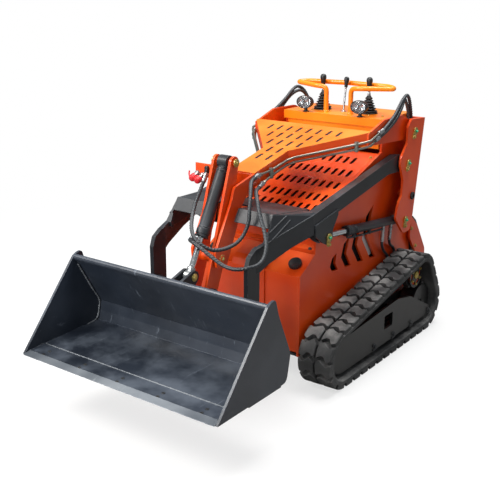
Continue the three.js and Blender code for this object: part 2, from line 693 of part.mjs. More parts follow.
/** The ports and the pipe below a lift cylinder, joined to its barrel. */
function liftPorts(x) {
  const [ux, uz] = along(LIFT_BASE_PIN, LIFT_ROD_PIN, 1).map((v, i) => v - LIFT_BASE_PIN[i]);
  const at = (d, below) => [
    x, LIFT_BASE_PIN[0] + ux * d - uz * below, LIFT_BASE_PIN[1] + uz * d - Math.abs(ux) * below];
  return join(
    bar(at(PORT_REAR, 0), at(PORT_REAR, PORT_DROP), 9, 8),
    bar(at(PORT_FRONT, 0), at(PORT_FRONT, PORT_DROP), 9, 8),
    bar(at(PORT_FRONT - 4, PIPE_DROP), at(LIFT.length - 14, PIPE_DROP), 6, 8),
    bar(at(LIFT.length - 18, 0), at(LIFT.length - 18, PIPE_DROP + 5), 8, 8));
}

const [PORT_REAR, PORT_FRONT, PORT_DROP, PIPE_DROP] = [79, 160, 66, 34];
const LIFT = { length: 528, radius: 21, bore: 16, eye: 28, eyeHalf: 15, pin: 12 };
const LIFT_ROD = { start: 225, radius: 14, eye: 27, eyeHalf: 12 };
const TILT = { length: 332, radius: 25, bore: 18, eye: 28, eyeHalf: 24, pin: 12 };
const TILT_ROD = { start: 200, radius: 13, eye: 25, eyeHalf: 14 };

function liftBarrel(side) {
  const x = side * BOOM_MID;
  const ports = cut(liftPorts(x), bar([x, ...LIFT_BASE_PIN], [x, ...LIFT_ROD_PIN], LIFT.bore + 1, 16));
  return join(barrel(x, LIFT_BASE_PIN, LIFT_ROD_PIN, LIFT), ports);
}

function tiltBarrel() {
  const union = bar([-34, 534, 712], [-34, 549, 712], 10, 8);
  const port = join(bar([-20, 552, 718], [-34, 543, 712], 8, 8), union);
  return join(barrel(0, TILT_BASE_PIN, TILT_ROD_PIN, TILT), port);
}

bothSides('lift_barrel', liftBarrel, black);
bothSides('lift_rod', (side) => rod(side * BOOM_MID, LIFT_BASE_PIN, LIFT_ROD_PIN, LIFT_ROD), chrome);
piece('tilt_barrel', tiltBarrel(), black);
piece('tilt_rod', rod(0, TILT_BASE_PIN, TILT_ROD_PIN, TILT_ROD), chrome);

// ---------------------------------------------------------------- bucket and its carrier

/** A point beside the bucket's back: a share of the way up it, and a distance behind it. */
function behindBack(share, distance) {
  const [foot, head] = [[444, 366], [314, 597]];
  const [run, rise] = [head[0] - foot[0], head[1] - foot[1]];
  const length = Math.hypot(run, rise);
  return [foot[0] + run * share + (rise / length) * distance,
    foot[1] + rise * share - (run / length) * distance];
}

function carrier() {
  const [near, far] = [BUCKET_PLATE + GAP, BUCKET_PLATE + GAP + WALL];
  const back = plate(outline([
    behindBack(0.04, near), behindBack(0.88, near), behindBack(0.88, far), behindBack(0.04, far),
  ]), -250, 250);
  const earShape = outline(belt(
    [[...BUCKET_PIN, 32], [...behindBack(0.2, 30), 20], [...behindBack(0.56, 26), 14]], 20));
  const ears = [[226, 238], [52, 64]].flatMap(([a, b]) => [1, -1].map((side) =>
    plate(earShape, side * a, side * b)));
  const stubs = [1, -1].map((side) => crossBar(BUCKET_PIN, side * 230, side * 262, 14, 16));
  const middlePin = crossBar(BUCKET_PIN, -64, 64, 14, 16);
  const clevisShape = outline(belt(
    [[...behindBack(0.5, 32), 18], [...TILT_ROD_PIN, 28], [...behindBack(0.78, 24), 10]], 20));
  const clevis = [1, -1].map((side) => plate(clevisShape, side * 17, side * 29));
  return join(back, ...ears, ...stubs, middlePin, ...clevis);
}

function bucketShell() {
  const floor = foldedSheet([
    [34, EDGE_HEIGHT + 6], [414, 281], [422, 283], [436, 322], [444, 366], [314, 597],
  ], BUCKET_PLATE, -(BUCKET_HALF - BUCKET_SIDE), BUCKET_HALF - BUCKET_SIDE);
  const rim = crossBar([316, 600], -(BUCKET_HALF - BUCKET_SIDE), BUCKET_HALF - BUCKET_SIDE, 13, 12);
  const cheek = (side) => plate(outline([
    [8, 261], [304, 606], [326, 618, 12], [352, 622, 14], [374, 553, 60], [455, 374, 20], [430, 262, 30],
    [394, 262], [392, 256], [190, 256], [188, 261],
  ]), side * (BUCKET_HALF - BUCKET_SIDE - 1), side * BUCKET_HALF);
  return join(floor, rim, cheek(1), cheek(-1));
}

function cuttingEdge() {
  return plate(outline([
    [0, EDGE_HEIGHT - 2], [34 - GAP, EDGE_HEIGHT + 8], [34 - GAP, EDGE_HEIGHT - 6],
  ]), -(BUCKET_HALF - BUCKET_SIDE - 2), BUCKET_HALF - BUCKET_SIDE - 2);
}

piece('bucket_carrier', carrier(), black);
piece('bucket', bucketShell(), black);
piece('cutting_edge', cuttingEdge(), steel);

// ---------------------------------------------------------------- hydraulic hoses

const HOSE = 8;                 // outer radius of a hose
const LIFT_HOSE = 7;

// Each route runs from a steel fitting to the piece that the hose feeds.
const COUPLER_ROUTE = [
  [82, 832, 934.4], [86, 806, 932], [98, 768, 927], [118, 734, 916], [140, 702, 893], [156, 677, 864],
  [165, 661, 832], [168, 653, 798], [163, 642, 760], [152, 628, 728], [139, 605, 705], [125, 578, 693],
  [110, 545, 688], [93, 512, 691], [66, 486, 708], [25, 482, 734], [-20, 515, 762], [-52, 560, 800],
  [-70, 602, 842], [-78, 640, 880], [-82, 668, 912], [-82, 686.5, 940],
];
const TILT_ROUTE = [
  [82, 861.5, 892.8], [87, 836, 886], [108, 790, 887], [148, 730, 892], [188, 684, 870], [224, 654, 818],
  [256, 637, 768], [280, 617, 716], [290, 585, 676], [290, 545, 658], [276, 508, 654], [246, 488, 647],
  [208, 482, 643], [165, 478, 652], [115, 470, 680], [68, 463, 708], [30, 466, 722], [0, 484, 722],
  [-22, 508, 717], [-33, 529.5, 712],
];
const REAR_ROUTES = [[
  [327, 1448, 1058.6], [327, 1490, 1072], [326, 1545, 1097], [323, 1599, 1124], [318, 1645, 1153],
  [315, 1688, 1183], [312, 1730, 1197], [304, 1772, 1180], [297, 1806, 1140], [292, 1830, 1092],
  [290, 1838, 1052],
], [
  [327, 1413, 1031.3], [327, 1450, 1040], [327, 1510, 1058], [327, 1570, 1084], [326, 1620, 1113],
  [321, 1665, 1148], [311, 1700, 1170], [299, 1736, 1178], [291, 1768, 1162], [288, 1796, 1128],
  [288, 1811, 1085], [288, 1815, 1045],
]];
const LIFT_ROUTES = [[
  [304, 1641.5, 525], [303, 1640, 505], [300, 1652, 478], [295, 1680, 456], [288, 1712, 440],
  [284, 1735, 418], [283, 1742, 392],
], [
  [304, 1562.5, 533], [303, 1562, 512], [300, 1574, 480], [294, 1604, 448], [287, 1640, 424],
  [284, 1668, 400], [283, 1680, 372],
]];

/** A plain tube along a route, on the side that is asked for. */
function hose(route, side, radius, steps) {
  return bentTube(route.map(([x, y, z]) => [side * x, y, z]), radius, 8, steps);
}

piece('coupler_hose', hose(COUPLER_ROUTE, 1, HOSE, 34), rubber);
piece('tilt_hose', hose(TILT_ROUTE, 1, HOSE, 40), rubber);
REAR_ROUTES.forEach((route, i) =>
  bothSides(`rear_hose_${i + 1}`, (side) => hose(route, side, HOSE, 20), rubber));
LIFT_ROUTES.forEach((route, i) =>
  bothSides(`lift_hose_${i + 1}`, (side) => hose(route, side, LIFT_HOSE, 12), rubber));

export default machine;
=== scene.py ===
# %% [markdown]
# # A compact tracked skid steer loader
# The loader is a walk-behind machine on two rubber tracks, with a bucket on a self-levelling
# boom. Its measured parts come ready made from the drawing office as a fixed frame. This
# notebook gives them paint, rubber and steel, and adds the small things that are too fine for
# the drawing: tread lugs, hoses, bolts, levers and weld seams. Everything is in metres.

# %% Load the frame
import json
import math

import bmesh
import bpy
from mathutils import Matrix, Vector


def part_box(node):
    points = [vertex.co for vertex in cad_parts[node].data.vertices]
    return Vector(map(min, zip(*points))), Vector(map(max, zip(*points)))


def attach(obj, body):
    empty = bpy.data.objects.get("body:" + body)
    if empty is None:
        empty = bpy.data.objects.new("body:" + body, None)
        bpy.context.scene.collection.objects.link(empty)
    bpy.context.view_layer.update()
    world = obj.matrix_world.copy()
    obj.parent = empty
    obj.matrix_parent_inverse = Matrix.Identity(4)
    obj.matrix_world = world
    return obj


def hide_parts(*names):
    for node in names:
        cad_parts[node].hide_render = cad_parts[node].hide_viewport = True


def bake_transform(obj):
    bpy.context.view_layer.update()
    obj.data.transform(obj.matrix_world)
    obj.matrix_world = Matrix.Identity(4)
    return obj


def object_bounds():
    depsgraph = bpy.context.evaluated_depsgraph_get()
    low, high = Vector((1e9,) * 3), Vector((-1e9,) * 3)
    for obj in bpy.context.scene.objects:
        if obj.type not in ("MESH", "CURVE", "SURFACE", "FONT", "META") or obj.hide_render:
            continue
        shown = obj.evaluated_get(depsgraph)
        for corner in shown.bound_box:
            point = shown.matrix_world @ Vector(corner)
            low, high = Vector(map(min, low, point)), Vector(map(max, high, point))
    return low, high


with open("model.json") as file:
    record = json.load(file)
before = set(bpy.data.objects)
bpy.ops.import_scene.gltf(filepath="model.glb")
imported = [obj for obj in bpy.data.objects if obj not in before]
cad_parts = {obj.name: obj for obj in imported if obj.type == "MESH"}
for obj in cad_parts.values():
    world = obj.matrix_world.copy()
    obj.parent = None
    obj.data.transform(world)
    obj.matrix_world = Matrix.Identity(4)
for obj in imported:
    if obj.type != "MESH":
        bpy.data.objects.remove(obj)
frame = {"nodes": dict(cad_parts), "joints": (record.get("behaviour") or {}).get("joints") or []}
cad_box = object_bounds()

# %% [markdown]
# ## Where things are
# X points to the machine's left, Y to its rear and Z up. Fore-and-aft places on the machine
# are called stations. They are measured back from the bucket's cutting edge, which is how a
# fitter would run a tape along it. `place` turns a station into the frame's own coordinates.
# Most of the linkage pins come from the joints. The two rod pins aren't joints, so their
# places are given here.

# %% Stations and pins
X, Y, Z = Vector((1, 0, 0)), Vector((0, 1, 0)), Vector((0, 0, 1))
HALF_LENGTH = cad_box[1][1]


def place(x, station, z):
    """A point given by its side, its station and its height."""
    return Vector((x, station - HALF_LENGTH, z))


joint_at = {j["name"]: Vector(j["pos_m"]) for j in frame["joints"] if j.get("pos_m")}
BOOM_PIN = joint_at["lift"]
LINK_PIN = joint_at["upper_link_swing"]
LEVEL_PIN = joint_at["front_link_swing"]
BUCKET_PIN = joint_at["tilt"]
TILT_BASE_PIN = joint_at["tilt_cylinder_swing"]
LIFT_BASE_PIN = joint_at["lift_cylinder_swing_left"]
TILT_ROD_PIN = place(0, 0.470, 0.573)
LIFT_ROD_PIN = place(LIFT_BASE_PIN.x, 1.012, 0.665)
SIDES = {"left": 1, "right": -1}
print("boom pin", BOOM_PIN[:], "bucket pin", BUCKET_PIN[:])

# %% [markdown]
# ## The camera
# The machine is seen from the front and its left, from above the console, through a longish
# lens that keeps its proportions honest. It is set up first, because the free hoses are
# judged against what it sees.

# %% Camera
EYE = Vector((2.1364, -3.0644, 1.7212))
HEADING, PITCH = math.radians(36.30), math.radians(17.58)
SENSOR_WIDTH, LENS = 36.0, 61.26
camera_data = bpy.data.cameras.new("camera")
camera_data.sensor_width = SENSOR_WIDTH
camera_data.lens = LENS
camera = bpy.data.objects.new("camera", camera_data)
bpy.context.scene.collection.objects.link(camera)
camera.location = EYE
level = math.cos(PITCH)
look = Vector((-math.sin(HEADING) * level, math.cos(HEADING) * level, -math.sin(PITCH)))
camera.rotation_euler = look.to_track_quat("-Z", "Y").to_euler()
bpy.context.scene.camera = camera
print("camera at", EYE[:])

# %% [markdown]
# ## Shared surface effects
# Used machines are never one flat colour. Four effects are shared by the finishes below:
# bright wear along corners, which on the hose's guard is a painted highlight; dust that
# settles where a surface faces up, which on the orange enamels is painted top light; the
# faint ripple that sprayed paint and rubber leave; and scratches from sliding earth. Each is
# a node group with its own inputs, so one recipe serves every finish. A group gives out only
# masks and values, and each finish decides what to do with them. Four small helpers come
# first, and keep the recipes short.

# %% Node group helpers
def new_group(name, inputs, outputs):
    """An empty shader group, whose inputs are given with their usual values."""
    group = bpy.data.node_groups.new(name, "ShaderNodeTree")
    for label, value in inputs.items():
        socket = group.interface.new_socket(label, in_out="INPUT", socket_type="NodeSocketFloat")
        socket.default_value = value
    for label in outputs:
        group.interface.new_socket(label, in_out="OUTPUT", socket_type="NodeSocketFloat")
    return group, group.nodes.new("NodeGroupInput"), group.nodes.new("NodeGroupOutput")


def add(tree, kind, **values):
    """A node with its properties and, by socket name, its unlinked inputs."""
    node = tree.nodes.new(kind)
    for key, value in values.items():
        if hasattr(node, key):
            setattr(node, key, value)
        else:
            node.inputs[key.replace("_", " ")].default_value = value
    return node


def ramp(tree, source, low, high):
    """A mask that rises from 0 to 1 between two values of its source."""
    node = add(tree, "ShaderNodeMapRange", interpolation_type="SMOOTHSTEP")
    tree.links.new(source, node.inputs["Value"])
    node.inputs["From Min"].default_value = low
    node.inputs["From Max"].default_value = high
    return node.outputs["Result"]


def combine(tree, operation, first, second):
    """One maths step on two sockets or numbers."""
    node = add(tree, "ShaderNodeMath", operation=operation)
    for slot, value in zip(node.inputs, (first, second)):
        if isinstance(value, (int, float)):
            slot.default_value = value
        else:
            tree.links.new(value, slot)
    return node.outputs[0]


GROUPS = {}
print("the shared effects follow")

# %% [markdown]
# ### Edge wear and painted highlight
# Paint goes first at the corners. A bevel node gives the normal that a rounded corner would
# have, so the surface is near a corner wherever that normal and the true one disagree. Noise
# then breaks the bright band up into chips. On the hose the same band is a painted highlight
# along the ridges of its guard.

# %% Edge wear and painted highlight group
def build_edge_wear_and_highlight():
    """Bright, broken wear along corners, which on the hose is a painted highlight."""
    group, given, result = new_group("edge_wear_and_highlight", {"Width": 0.003, "Amount": 0.5}, ["Mask"])
    rounded = add(group, "ShaderNodeBevel", samples=4)
    group.links.new(given.outputs["Width"], rounded.inputs["Radius"])
    sharp = add(group, "ShaderNodeNewGeometry")
    angle = add(group, "ShaderNodeVectorMath", operation="DOT_PRODUCT")
    group.links.new(rounded.outputs[0], angle.inputs[0])
    group.links.new(sharp.outputs["Normal"], angle.inputs[1])
    corner = ramp(group, combine(group, "SUBTRACT", 1.0, angle.outputs["Value"]), 0.02, 0.2)
    where = add(group, "ShaderNodeTexCoord")
    chips = add(group, "ShaderNodeTexNoise", Scale=42.0, Detail=4.0, Roughness=0.65)
    group.links.new(where.outputs["Object"], chips.inputs["Vector"])
    broken = ramp(group, chips.outputs["Fac"], 0.42, 0.6)
    worn_and_highlit = combine(group, "MULTIPLY", corner, broken)
    masked = combine(group, "MULTIPLY", worn_and_highlit, given.outputs["Amount"])
    group.links.new(masked, result.inputs["Mask"])
    return group


GROUPS["edge_wear_and_highlight"] = build_edge_wear_and_highlight()
print("nodes in edge_wear_and_highlight:", len(GROUPS["edge_wear_and_highlight"].nodes))

# %% [markdown]
# ### Settled dust and painted top light
# Dust lies thickest on surfaces that face up, and a little of it clings everywhere else. The
# height part of the surface's normal gives the first, and soft noise makes it patchy. On the
# orange enamels the same mask lays a lighter, yellower orange on the faces that look up,
# which is painted top light.

# %% Settled dust and painted top light group
def build_dust_and_top_light():
    """Dust in soft patches where the surface faces up; on orange paint it is painted top light."""
    group, given, result = new_group("settled_dust_and_top_light", {"Amount": 0.4, "Scale": 6.0}, ["Mask"])
    surface = add(group, "ShaderNodeNewGeometry")
    parts = add(group, "ShaderNodeSeparateXYZ")
    group.links.new(surface.outputs["Normal"], parts.inputs[0])
    up = ramp(group, parts.outputs["Z"], 0.2, 1.0)
    where = add(group, "ShaderNodeTexCoord")
    patches = add(group, "ShaderNodeTexNoise", Detail=5.0, Roughness=0.6)
    group.links.new(where.outputs["Object"], patches.inputs["Vector"])
    group.links.new(given.outputs["Scale"], patches.inputs["Scale"])
    soft = ramp(group, patches.outputs["Fac"], 0.35, 0.75)
    anywhere = combine(group, "ADD", combine(group, "MULTIPLY", up, 0.8), 0.2)
    settled_and_top_lit = combine(group, "MULTIPLY", anywhere, soft)
    masked = combine(group, "MULTIPLY", settled_and_top_lit, given.outputs["Amount"])
    group.links.new(masked, result.inputs["Mask"])
    return group


GROUPS["dust_and_top_light"] = build_dust_and_top_light()
print("nodes in dust:", len(GROUPS["dust_and_top_light"].nodes))

# %% [markdown]
# ### Surface ripple
# Sprayed paint has a fine orange-peel texture, and its tone drifts slowly across a panel. Both
# are noise, so one group gives a fine height for the bump and a broad tone for the colour.

# %% Surface ripple group
def build_ripple():
    """Two sizes of unevenness, as a height for a bump and as a slow change of tone."""
    group, given, result = new_group("ripple", {"Fine": 260.0, "Broad": 3.0}, ["Height", "Tone"])
    where = add(group, "ShaderNodeTexCoord")
    for label, source in (("Height", "Fine"), ("Tone", "Broad")):
        noise = add(group, "ShaderNodeTexNoise", Detail=3.0)
        group.links.new(where.outputs["Object"], noise.inputs["Vector"])
        group.links.new(given.outputs[source], noise.inputs["Scale"])
        group.links.new(noise.outputs["Fac"], result.inputs[label])
    return group


GROUPS["ripple"] = build_ripple()
print("nodes in ripple:", len(GROUPS["ripple"].nodes))

# %% [markdown]
# ### Scratches
# Earth and gravel slide out of a bucket and leave long, thin marks. Noise that is stretched
# along one direction gives them, and a narrow ramp keeps only its thin peaks.

# %% Scratches group
def build_scratches():
    """Long thin scratches, where earth has slid across the metal."""
    group, given, result = new_group("scratches", {"Scale": 9.0, "Amount": 0.5}, ["Mask"])
    where = add(group, "ShaderNodeTexCoord")
    turned = add(group, "ShaderNodeMapping")
    turned.inputs["Scale"].default_value = (6.0, 0.35, 1.0)
    turned.inputs["Rotation"].default_value = (0.0, 0.0, 0.35)
    group.links.new(where.outputs["Object"], turned.inputs["Vector"])
    lines = add(group, "ShaderNodeTexNoise", Detail=7.0, Roughness=0.75)
    group.links.new(turned.outputs["Vector"], lines.inputs["Vector"])
    group.links.new(given.outputs["Scale"], lines.inputs["Scale"])
    thin = ramp(group, lines.outputs["Fac"], 0.6, 0.68)
    masked = combine(group, "MULTIPLY", thin, given.outputs["Amount"])
    group.links.new(masked, result.inputs["Mask"])
    return group


GROUPS["scratches"] = build_scratches()
print("nodes in scratches:", len(GROUPS["scratches"].nodes))

# %% [markdown]
# ## The finishes
# Every finish here starts in the same way: a base colour with a slow drift in tone, dust on
# top, wear on the corners, and a fine bump. On the orange enamels the dust is painted top
# light, and on the hose the wear is a painted highlight. Paint, rubber and bare steel differ
# in the numbers and in how metallic and how glossy they are.

# %% Finish builder
CORNER_RADIUS, BUMP_DEPTH, COAT_ROUGHNESS = 0.0018, 0.002, 0.12


def srgb(code):
    """A linear colour from a six-figure screen colour."""
    parts = [int(code[i:i + 2], 16) / 255 for i in (0, 2, 4)]
    return tuple([(c / 12.92 if c <= 0.04045 else ((c + 0.055) / 1.055) ** 2.4) for c in parts] + [1.0])


def blend_colour(tree, mask, first, second):
    """Mixes two colours, each a socket or a colour, by a mask."""
    node = add(tree, "ShaderNodeMix", data_type="RGBA")
    tree.links.new(mask, node.inputs["Factor"])
    for slot, value in ((node.inputs[6], first), (node.inputs[7], second)):
        if isinstance(value, tuple):
            slot.default_value = value
        else:
            tree.links.new(value, slot)
    return node.outputs[2]


def group_node(tree, name, **values):
    """One of the shared effects, with its own values."""
    node = tree.nodes.new("ShaderNodeGroup")
    node.node_tree = GROUPS[name]
    for key, value in values.items():
        node.inputs[key].default_value = value
    return node


def finish_of(name, light, dark, *, dust_and_top_light, wear_and_highlight, dust_and_top_light_amount, wear_and_highlight_amount, wear_and_highlight_width=0.003,
              fine=260.0, broad=3.0, bump, smooth, rough, metallic=0.0, coat=0.0, scratched=0.0):
    """A finish with drifting tone, dust and painted top light, corner wear and painted highlight, and a fine
    bump.
    """
    material = bpy.data.materials.new(name)
    material.use_nodes = True
    tree = material.node_tree
    shader = tree.nodes["Principled BSDF"]
    ripple = group_node(tree, "ripple", Fine=fine, Broad=broad)
    colour = blend_colour(tree, ramp(tree, ripple.outputs["Tone"], 0.3, 0.7), srgb(dark), srgb(light))
    # Dust on faces that look up; on the orange enamels its colour is painted top light.
    dusty_and_top_lit = group_node(tree, "dust_and_top_light", Amount=dust_and_top_light_amount)
    colour = blend_colour(tree, dusty_and_top_lit.outputs["Mask"], colour, srgb(dust_and_top_light))
    if scratched:
        marks = group_node(tree, "scratches", Amount=scratched)
        colour = blend_colour(tree, marks.outputs["Mask"], colour, srgb(wear_and_highlight))
    # Corner wear; on the hose this mask paints a highlight along the guard's ridges.
    worn_and_highlit = group_node(tree, "edge_wear_and_highlight", Amount=wear_and_highlight_amount, Width=wear_and_highlight_width)
    colour = blend_colour(tree, worn_and_highlit.outputs["Mask"], colour, srgb(wear_and_highlight))
    tree.links.new(colour, shader.inputs["Base Color"])
    gloss = add(tree, "ShaderNodeMapRange")
    uneven = combine(tree, "ADD", ripple.outputs["Tone"], dusty_and_top_lit.outputs["Mask"])
    tree.links.new(uneven, gloss.inputs["Value"])
    gloss.inputs["From Min"].default_value = 0.3
    gloss.inputs["From Max"].default_value = 1.0
    gloss.inputs["To Min"].default_value = smooth
    gloss.inputs["To Max"].default_value = rough
    tree.links.new(gloss.outputs["Result"], shader.inputs["Roughness"])
    relief = add(tree, "ShaderNodeBump", Strength=bump, Distance=BUMP_DEPTH)
    tree.links.new(ripple.outputs["Height"], relief.inputs["Height"])
    rounded = add(tree, "ShaderNodeBevel", samples=4, Radius=CORNER_RADIUS)
    tree.links.new(rounded.outputs[0], relief.inputs["Normal"])
    tree.links.new(relief.outputs["Normal"], shader.inputs["Normal"])
    shader.inputs["Metallic"].default_value = metallic
    shader.inputs["Coat Weight"].default_value = coat
    shader.inputs["Coat Roughness"].default_value = COAT_ROUGHNESS
    return material


print("every corner is rounded by", CORNER_RADIUS)

# %% [markdown]
# ### One finish for each material
# Each enamel has a thin clear coat. Rubber is rough and holds pale dust, plated steel and
# chrome are metallic and smooth, and cast iron and weld have the strongest bump. Each call
# gives the light and the dark tone first, as six-figure screen colours.

# %% The machine's own finishes
FINISH = {
    # The dust colour here is a lighter, yellower orange: painted top light on faces that look up.
    "orange": finish_of(
        "orange_enamel", "e84a04", "d63c00", wear_and_highlight="f09a58", dust_and_top_light="f2863c", dust_and_top_light_amount=0.32,
        wear_and_highlight_amount=0.35, bump=0.03, smooth=0.30, rough=0.44, coat=0.12),
    # The dust colour here is a lighter amber: painted top light on faces that look up.
    "amber": finish_of(
        "amber_enamel", "fb8e0c", "f27c04", wear_and_highlight="ffcb80", dust_and_top_light="f6a040", dust_and_top_light_amount=0.18,
        wear_and_highlight_amount=0.3, bump=0.03, smooth=0.30, rough=0.42, coat=0.12),
    "black": finish_of(
        "black_enamel", "1d2025", "13161a", wear_and_highlight="8f959b", dust_and_top_light="666b72", dust_and_top_light_amount=0.25,
        wear_and_highlight_amount=0.35, bump=0.05, smooth=0.42, rough=0.58, coat=0.04),
    "bucket": finish_of(
        "bucket_enamel", "262d38", "151a22", wear_and_highlight="97a1ae", dust_and_top_light="69717c", dust_and_top_light_amount=0.45,
        wear_and_highlight_amount=0.34, bump=0.06, smooth=0.32, rough=0.5, coat=0.15, scratched=0.25,
        broad=2.0),
    "frame": finish_of(
        "track_frame_enamel", "151617", "0e0f10", wear_and_highlight="6c6f71", dust_and_top_light="4c4a46", dust_and_top_light_amount=0.3,
        wear_and_highlight_amount=0.3, bump=0.05, smooth=0.32, rough=0.5, coat=0.1),
    "rubber": finish_of(
        "track_rubber", "3c3d3e", "242526", dust_and_top_light="a4a3a0", wear_and_highlight="7b7a77", dust_and_top_light_amount=0.85,
        wear_and_highlight_amount=0.55, wear_and_highlight_width=0.005, fine=420.0, bump=0.25, smooth=0.6, rough=0.85),
    # The wear colour and its strong mask paint highlights along the ridges of the hose's guard.
    "hose": finish_of(
        "hose_rubber", "3c4043", "23262a", dust_and_top_light="7c7f81", wear_and_highlight="9a9da0", dust_and_top_light_amount=0.3,
        wear_and_highlight_amount=0.6, wear_and_highlight_width=0.0015, fine=700.0, bump=0.15, smooth=0.36, rough=0.55),
    "moulded": finish_of(
        "moulded_black", "1b1c1e", "121314", dust_and_top_light="4a4b4c", wear_and_highlight="5a5c5e", dust_and_top_light_amount=0.2,
        wear_and_highlight_amount=0.25, fine=800.0, bump=0.15, smooth=0.35, rough=0.55),
    "steel": finish_of(
        "plated_steel", "b9bcbd", "8f9396", dust_and_top_light="8a8579", wear_and_highlight="e4e6e7", dust_and_top_light_amount=0.25,
        wear_and_highlight_amount=0.4, wear_and_highlight_width=0.001, bump=0.06, smooth=0.22, rough=0.42, metallic=0.9),
    "chrome": finish_of(
        "chromed_rod", "dcdfe1", "c5c9cc", dust_and_top_light="9b9a96", wear_and_highlight="ffffff", dust_and_top_light_amount=0.1,
        wear_and_highlight_amount=0.1, bump=0.01, smooth=0.08, rough=0.2, metallic=1.0),
    "edge_steel": finish_of(
        "worn_edge_steel", "7f858c", "5b6168", dust_and_top_light="8b8e90", wear_and_highlight="c6cacd", dust_and_top_light_amount=0.3,
        wear_and_highlight_amount=0.5, bump=0.12, smooth=0.35, rough=0.6, metallic=0.6, scratched=0.5),
    "iron": finish_of(
        "cast_iron", "4b4d4f", "343638", dust_and_top_light="6a655c", wear_and_highlight="8d9092", dust_and_top_light_amount=0.4,
        wear_and_highlight_amount=0.3, fine=500.0, bump=0.3, smooth=0.5, rough=0.75, metallic=0.5),
    "zinc": finish_of(
        "yellow_zinc", "c9b66a", "a58f4c", dust_and_top_light="8f8a70", wear_and_highlight="e9dfa8", dust_and_top_light_amount=0.2,
        wear_and_highlight_amount=0.3, wear_and_highlight_width=0.001, bump=0.05, smooth=0.25, rough=0.45, metallic=0.8),
    "cap_red": finish_of(
        "red_rubber_cap", "e0262e", "c81d26", dust_and_top_light="d86a60", wear_and_highlight="f08080", dust_and_top_light_amount=0.15,
        wear_and_highlight_amount=0.1, fine=500.0, bump=0.08, smooth=0.35, rough=0.5),
    "cap_green": finish_of(
        "green_grease_cap", "28a878", "1c8f64", dust_and_top_light="70b090", wear_and_highlight="a0d8c0", dust_and_top_light_amount=0.1,
        wear_and_highlight_amount=0.1, bump=0.05, smooth=0.3, rough=0.45),
    "pipe": finish_of(
        "olive_zinc_pipe", "8f918a", "6b6d62", dust_and_top_light="807b6c", wear_and_highlight="c4c6bf", dust_and_top_light_amount=0.25,
        wear_and_highlight_amount=0.3, wear_and_highlight_width=0.001, bump=0.05, smooth=0.26, rough=0.44, metallic=0.85),
    # A lighter, yellower copy of the orange enamel for the link's top sheet: painted top light.
    "top_lit_orange": finish_of(
        "orange_enamel_painted_top_light", "f27a10", "e66a06", wear_and_highlight="ffbb70", dust_and_top_light="f29440", dust_and_top_light_amount=0.3,
        wear_and_highlight_amount=0.35, bump=0.03, smooth=0.28, rough=0.42, coat=0.15),
    "plate": finish_of(
        "blank_plate", "d4d6d6", "c2c5c6", dust_and_top_light="a09c94", wear_and_highlight="e8e8e8", dust_and_top_light_amount=0.3,
        wear_and_highlight_amount=0.2, bump=0.04, smooth=0.35, rough=0.5),
    "weld": finish_of(
        "weld_bead", "7d8186", "5d6166", dust_and_top_light="8b8e90", wear_and_highlight="b5b9bc", dust_and_top_light_amount=0.2,
        wear_and_highlight_amount=0.5, wear_and_highlight_width=0.001, fine=900.0, bump=0.4, smooth=0.4, rough=0.6,
        metallic=0.5),
}
print("finishes:", len(FINISH))

# %% [markdown]
# ## Finishes on the measured parts
# The parts that come from the drawing keep their shapes and only get a finish. The panels
# are orange enamel, the console is a yellower orange, and the boom and bucket are near
# black. Motors and sprockets are cast iron, and the pipes are plated.

# %% Dress the frame's parts
DRESS = {
    "orange": ["side_wall_left", "side_wall_right", "tower_left", "tower_right", "rear_skirt_left",
               "rear_skirt_right", "tank_left", "tank_right", "front_cover", "bulkhead", "rear_door",
               "upper_link", "front_link"],
    "amber": ["console"],
    "black": ["lift_arm_left", "lift_arm_right", "boom_bridge", "bucket_carrier", "rear_weight", "belly_pan"],
    "bucket": ["bucket"],
    "frame": ["track_frame_left", "track_frame_right", "track_rollers_left", "track_rollers_right"],
    "iron": ["engine", "drive_sprocket_left", "drive_sprocket_right"],
    "pipe": ["steel_pipes_left", "steel_pipes_right"],
    "edge_steel": ["cutting_edge"],
}
for finish, nodes in DRESS.items():
    for node in nodes:
        frame["nodes"][node].data.materials.clear()
        frame["nodes"][node].data.materials.append(FINISH[finish])
print("dressed", sum(len(nodes) for nodes in DRESS.values()), "parts")

# %% [markdown]
# ## Ways of making a piece
# Most small pieces are one of four things: something turned on a lathe, a bar or hose swept
# along a line, a plate cut from sheet, or a bolt. Each has one function here, which adds to
# a plain mesh. The first helper makes such a mesh into an object with its finish, and marks
# the edges that should stay crisp. The second also lets it ride on a body, and says which of
# the frame's parts it replaces, if any.

# %% From a mesh to a piece
def object_from(name, mesh, finish, crisp=35):
    """A scene object from a bmesh, with its finish, smooth apart from its crisp edges."""
    data = bpy.data.meshes.new(name)
    bmesh.ops.recalc_face_normals(mesh, faces=mesh.faces[:])
    mesh.to_mesh(data)
    mesh.free()
    data.shade_smooth()
    data.set_sharp_from_angle(angle=math.radians(crisp))
    data.materials.append(FINISH[finish])
    made = bpy.data.objects.new(name, data)
    bpy.context.scene.collection.objects.link(made)
    return made


def finished(mesh, name, finish, body, node=None, crisp=35):
    """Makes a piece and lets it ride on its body."""
    piece = object_from(name, mesh, finish, crisp)
    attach(piece, body)
    if node:
        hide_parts(node)
    return piece


print("pieces can be finished in:", ", ".join(sorted(FINISH)))

# %% [markdown]
# ### Turning on a lathe
# A turned piece is a stack of rings round a line, joined with faces. Its profile lists how
# far along the line each ring lies and how wide it is, as a machinist's drawing would. A
# tube is the same, but its profile goes up the outside and comes back down the bore.

# %% Rings, skins and turned pieces
RIM_CHAMFER = 0.0015


